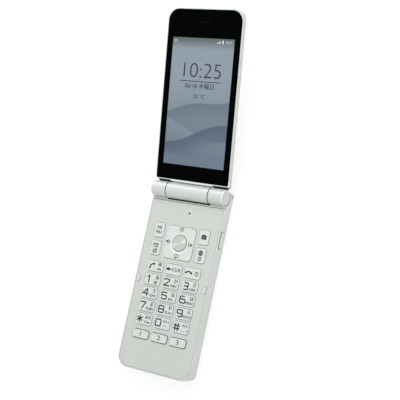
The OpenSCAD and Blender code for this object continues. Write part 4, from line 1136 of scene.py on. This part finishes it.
# %% Digits and letters
DIGIT_LEGENDS = {
    "key_1": ("1", "あ", ".@"),
    "key_2": ("2", "か", "ABC"),
    "key_3": ("3", "さ", "DEF"),
    "key_4": ("4", "た", "GHI"),
    "key_5": ("5", "な", "JKL"),
    "key_6": ("6", "は", "MNO"),
    "key_7": ("7", "ま", "PQRS"),
    "key_8": ("8", "や", "TUV"),
    "key_9": ("9", "ら", "WXYZ"),
    "key_0": ("0", "わをん", "ー"),
}
BOLD = 0.12
DIGIT_X, DIGIT_Y = -2.65, 0.1
GROUP_H, GROUP_X, GROUP_Y = 1.5, 2.3, -1.5
KANA_Y = 1.3
ONE_KANA, KANA_ROW = (2.0, 3.2), (1.1, 2.6)
BROAD, NARROW = 1.15, 0.92


def moved(marks, x, y):
    """Moves marks across the drawing."""
    bpy.ops.object.select_all(action="DESELECT")
    for mark in marks:
        mark.select_set(True)
    bpy.ops.transform.translate(value=(x, y, 0))
    bpy.ops.object.transform_apply(location=True, rotation=False, scale=False)
    return marks


for node, (sign, kana, group) in DIGIT_LEGENDS.items():
    kana_h, kana_x = ONE_KANA if len(kana) == 1 else KANA_ROW
    breadth = BROAD if len(group) < 4 else NARROW
    upper = letters(kana, kana_h, kana_x, KANA_Y, BOLD)
    lower = letters(group, GROUP_H, GROUP_X, GROUP_Y, BOLD, breadth)
    print_on(node, moved(digit(sign), DIGIT_X, DIGIT_Y) + [upper, lower])
print("Printed", len(DIGIT_LEGENDS), "digit keys")

# %% [markdown]
# Star and hash are drawn from bars, because the font's star is small and sits high. The three
# wide keys at the bottom carry thin digits in the middle.

# %% Star, hash and quick keys
SIGN_X = -2.8
NOTE_X = 2.7


def star(size):
    """Three crossed bars."""
    return [bar(STROKE, size, SIGN_X, 0, turn) for turn in (0, 60, 120)]


def hash_mark(size):
    """Two upright and two level bars."""
    gap = size * 0.19
    upright = [bar(STROKE, size, SIGN_X + side * gap, 0) for side in (-1, 1)]
    return upright + [bar(size * 0.95, STROKE, SIGN_X, side * gap) for side in (-1, 1)]


star_notes = [letters("記号", 1.4, NOTE_X, 1.3, BOLD), letters("小", 1.2, 1.2, -1.4, BOLD)]
print_on("key_star", star(4.4) + star_notes + [bar(2.2, 0.7, 3.4, -1.5)])
hash_notes = [letters("大小", 1.4, NOTE_X, 1.3, BOLD), letters("、。?!", 1.2, NOTE_X, -1.4, BOLD)]
print_on("key_hash", hash_mark(4.5) + hash_notes)
for number in (1, 2, 3):
    print_on(f"quick_key_{number}", [letters(str(number), height=2.6, width=1.4)])
print("Printed star, hash and the quick keys")

# %% [markdown]
# ## Symbols on the call keys
# Symbols stand for what words would say: a lifted handset, a handset at rest with a power ring
# and an arrow back. Rings are filled circles that are inset and emptied, and an arc is a ring
# that two cuts leave a piece of.

# %% Call keys
BOW_R, BOW_W, BOW_HALF_ANGLE = 3.3, 0.75, 45
BOW_MIDDLE = 2.7
CUP_R, CUP_ANGLE = 2.75, 40
CUP_LEN, CUP_W, CUP_CORNER = 1.2, 1.1, 0.25


def arc(radius, width, x, y, facing, half_angle):
    """A piece of a ring about x, y, whose middle lies towards facing, in degrees."""
    piece = outline(disc(radius, x, y), width)
    for side in (-1, 1):
        edge = math.radians(facing + side * (half_angle - 90))
        keep_side(piece, (x, y), (math.cos(edge), math.sin(edge)))
    return piece


def handset(x, y, facing):
    """A telephone handset: a bow with a cup at each end."""
    turn = math.radians(facing)
    centre = Vector((x - BOW_MIDDLE * math.cos(turn), y - BOW_MIDDLE * math.sin(turn)))
    marks = [arc(BOW_R, BOW_W, centre.x, centre.y, facing, BOW_HALF_ANGLE)]
    for side in (-1, 1):
        end = math.radians(facing + side * CUP_ANGLE)
        spot = centre + CUP_R * Vector((math.cos(end), math.sin(end)))
        marks.append(bar(CUP_LEN, CUP_W, spot.x, spot.y, math.degrees(end), CUP_CORNER))
    return marks


def power_ring(x, y):
    """A ring with an upright stroke through its top."""
    return [outline(disc(1.25, x, y), 0.4), bar(0.4, 1.1, x, y + 1.0)]


def back_arrow(x, y):
    """An arrow to the left."""
    return [disc(1.4, x - 0.8, y, 3, 90), bar(1.7, 0.9, x + 0.6, y)]


call_notes = [letters("再", 1.8, 3.0, 1.2, BOLD), letters("A/a", 1.4, 3.0, -1.4, BOLD)]
print_on("key_call", handset(-2.6, 0.4, 135) + call_notes)
print_on("key_clear", back_arrow(-3.1, 0) + [letters("CLR", 2.0, 1.8, 0, BOLD, 1.15)])
print_on("key_end", handset(-2.4, 0.5, 90) + power_ring(3.0, 0))
print("Printed the call keys")

# %% [markdown]
# ## Symbols on the function keys
# The four keys round the pad have an envelope, a camera, a globe and one plain word in two rows.
# They could be letters of a symbol font, but the built-in font has none, and bars, discs and
# rings are soon put together.

# %% Function keys
def envelope(x, y):
    """An outline with a flap."""
    flap = [bar(1.75, 0.36, x + side * 0.75, y + 0.3, side * 32) for side in (-1, 1)]
    return [outline(bar(3.2, 2.3, x, y, corner=0.15), 0.38)] + flap


def camera_mark(x, y):
    """A camera: a body round its lens, and a shutter on top."""
    sides = [bar(1.0, 2.5, x + side * 1.2, y, corner=0.2) for side in (-1, 1)]
    edges = [bar(2.6, 0.6, x, y + side * 0.95) for side in (-1, 1)]
    lens = [outline(disc(1.05, x, y), 0.35), disc(0.56, x, y)]
    return sides + edges + lens + [bar(1.4, 0.6, x, y + 1.4, corner=0.1)]


def globe(x, y):
    """A ring with its equator, meridians and two parallels."""
    meridian = outline(disc(1.45), 0.45)
    meridian.scale.x = 0.5
    meridian.location = (x, y, 0)
    bpy.ops.object.transform_apply(location=True, rotation=True, scale=True)
    level = [bar(width, 0.34, x, y + rise) for width, rise in ((2.8, 0), (2.3, 0.75), (2.3, -0.75))]
    return [outline(disc(1.55, x, y), 0.4), meridian, bar(0.34, 2.8, x, y)] + level


def page_mark(x, y):
    """A rounded frame round two short lines."""
    lines = [bar(0.9, 0.3, x, y + side * 0.4) for side in (-1, 1)]
    return [outline(bar(2.2, 2.4, x, y, corner=0.6), 0.36)] + lines


print_on("key_menu", [letters("ME", 1.8, 0, 1.35, BOLD, 1.1), letters("NU", 1.8, 0, -1.35, BOLD, 1.1)])
print_on("key_mail", envelope(0, 1.6) + [letters("@", 2.2, 0, -1.7, BOLD)])
print_on("key_camera", camera_mark(0, 0))
print_on("key_web", globe(0, 1.5) + page_mark(0, -1.8))
print("Printed the function keys")

# %% [markdown]
# ## Marks on the direction pad
# The pad has a small mark at each side: a book, a speech bubble and two pointers. The pad rocks
# on its plate, so its marks ride on the pad's own body and tilt with it.

# %% Direction pad marks
def book(x, y):
    """Two pages."""
    return [outline(bar(1.45, 2.1, x + side * 0.55, y, corner=0.35), 0.34) for side in (-1, 1)]


def bubble(x, y):
    """A rounded outline with a tail."""
    return [outline(bar(2.9, 2.1, x, y, corner=0.7), 0.36), disc(0.6, x - 0.35, y - 1.2, 3, 180)]


def pointer(x, y, turn):
    """A small outlined sign that points outwards."""
    return [outline(disc(1.05, x, y, 24), 0.45), disc(0.7, x + math.copysign(1.3, x), y, 3, turn)]


MARK_REACH = 7.35
pad_marks = book(0, MARK_REACH + 0.9) + bubble(0, -MARK_REACH - 0.4)
print_on("dpad", pad_marks + pointer(-MARK_REACH, 0, 90) + pointer(MARK_REACH, 0, -90))
print("Printed the direction pad")

# %% [markdown]
# ## A dust cloth in the ear slot
# Behind the slot that the voice comes through, a strip of black woven cloth keeps dust out of
# the receiver. It lies on the receiver's face, so it is a rounded bar a little larger than the
# slot, held down by the glass. Two crossed waves of threads make its weave.

# %% Ear cloth
THREAD, WEAVE_DEPTH = 0.14, 0.02
CLOTH_W, CLOTH_H, CLOTH_T = 8.6, 1.5, 0.05
CLOTH_CORNER = 0.7


def woven_cloth():
    """Fine black cloth with crossed threads."""
    cloth = Finish("ear_cloth", {"Specular IOR Level": 0.1})
    x, y = cloth.parts(cloth.place)[:2]
    thread = 2 * math.pi / (THREAD * MM)
    weave = x.maths("SINE", x * thread) * y.maths("SINE", y * thread) * 0.5 + 0.5
    cloth.feed({"Base Color": cloth.mix(weave, colour(6, 8, 8), colour(20, 22, 22)),
                "Roughness": 0.7 + 0.2 * weave})
    cloth.relief(weave, WEAVE_DEPTH)
    return cloth.material


receiver_low, receiver_high = (corner / MM for corner in lid_box("receiver_speaker"))
ear_y = (receiver_low.y + receiver_high.y) / 2
ear_level = lid_frame @ Matrix.Translation(Vector((0, ear_y, receiver_high.z)) * MM)
strip = bar(CLOTH_W, CLOTH_H, corner=CLOTH_CORNER)
ear_cloth = lay_down("ear_cloth", [strip], CLOTH_T, ear_level, woven_cloth())
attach(ear_cloth, "lid")
print("Ear cloth", round(glass_level - receiver_high.z, 2), "mm below the glass's face")

# %% [markdown]
# ## Painted shade of the cross recesses
# The screws are turned solids, and their driver recess is the small thing that a person looks
# for on the rear. The recess is not cut: a thin dark cross of painted shade, two bars with rounded
# ends, is laid on each head. The place of each head is read from the screw's own vertices.

# %% Painted shade of the screw recesses
RECESS_LEN, RECESS_W, RECESS_CORNER = 1.5, 0.4, 0.12
RECESS_DEPTH = 0.05


def cross(x, y):
    """Painted shade of the recess of a cross-head driver."""
    return [bar(RECESS_LEN, RECESS_W, x, y, turn, RECESS_CORNER) for turn in (45, 135)]


def head_spots(points):
    """Middles of screws that stand apart, one for each corner they lie in."""
    corners = {}
    for point in points:
        corners.setdefault((point.x > 0, point.y > 0), []).append(point)
    spots = []
    for group in corners.values():
        xs = [point.x for point in group]
        ys = [point.y for point in group]
        spots.append(((min(xs) + max(xs)) / 2 / MM, (min(ys) + max(ys)) / 2 / MM))
    return spots


base_points = [vertex.co for vertex in frame["nodes"]["base_screws"].data.vertices]
lid_points = [lid_frame.inverted() @ vertex.co for vertex in frame["nodes"]["lid_screws"].data.vertices]
for body, points, place in (("base", base_points, Matrix.Identity(4)), ("lid", lid_points, lid_frame)):
    level = min(point.z for point in points)
    marks = [mark for spot in head_spots(points) for mark in cross(*spot)]
    heads = place @ Matrix.Translation((0, 0, level))
    # Painted shade: dark crosses stand for the shade in the driver recesses.
    recess_shade = lay_down(f"{body}_screw_recess_shade", marks, RECESS_DEPTH, heads, FINISHES["black"])
    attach(recess_shade, body)
print("Cross recesses laid into the screw heads")
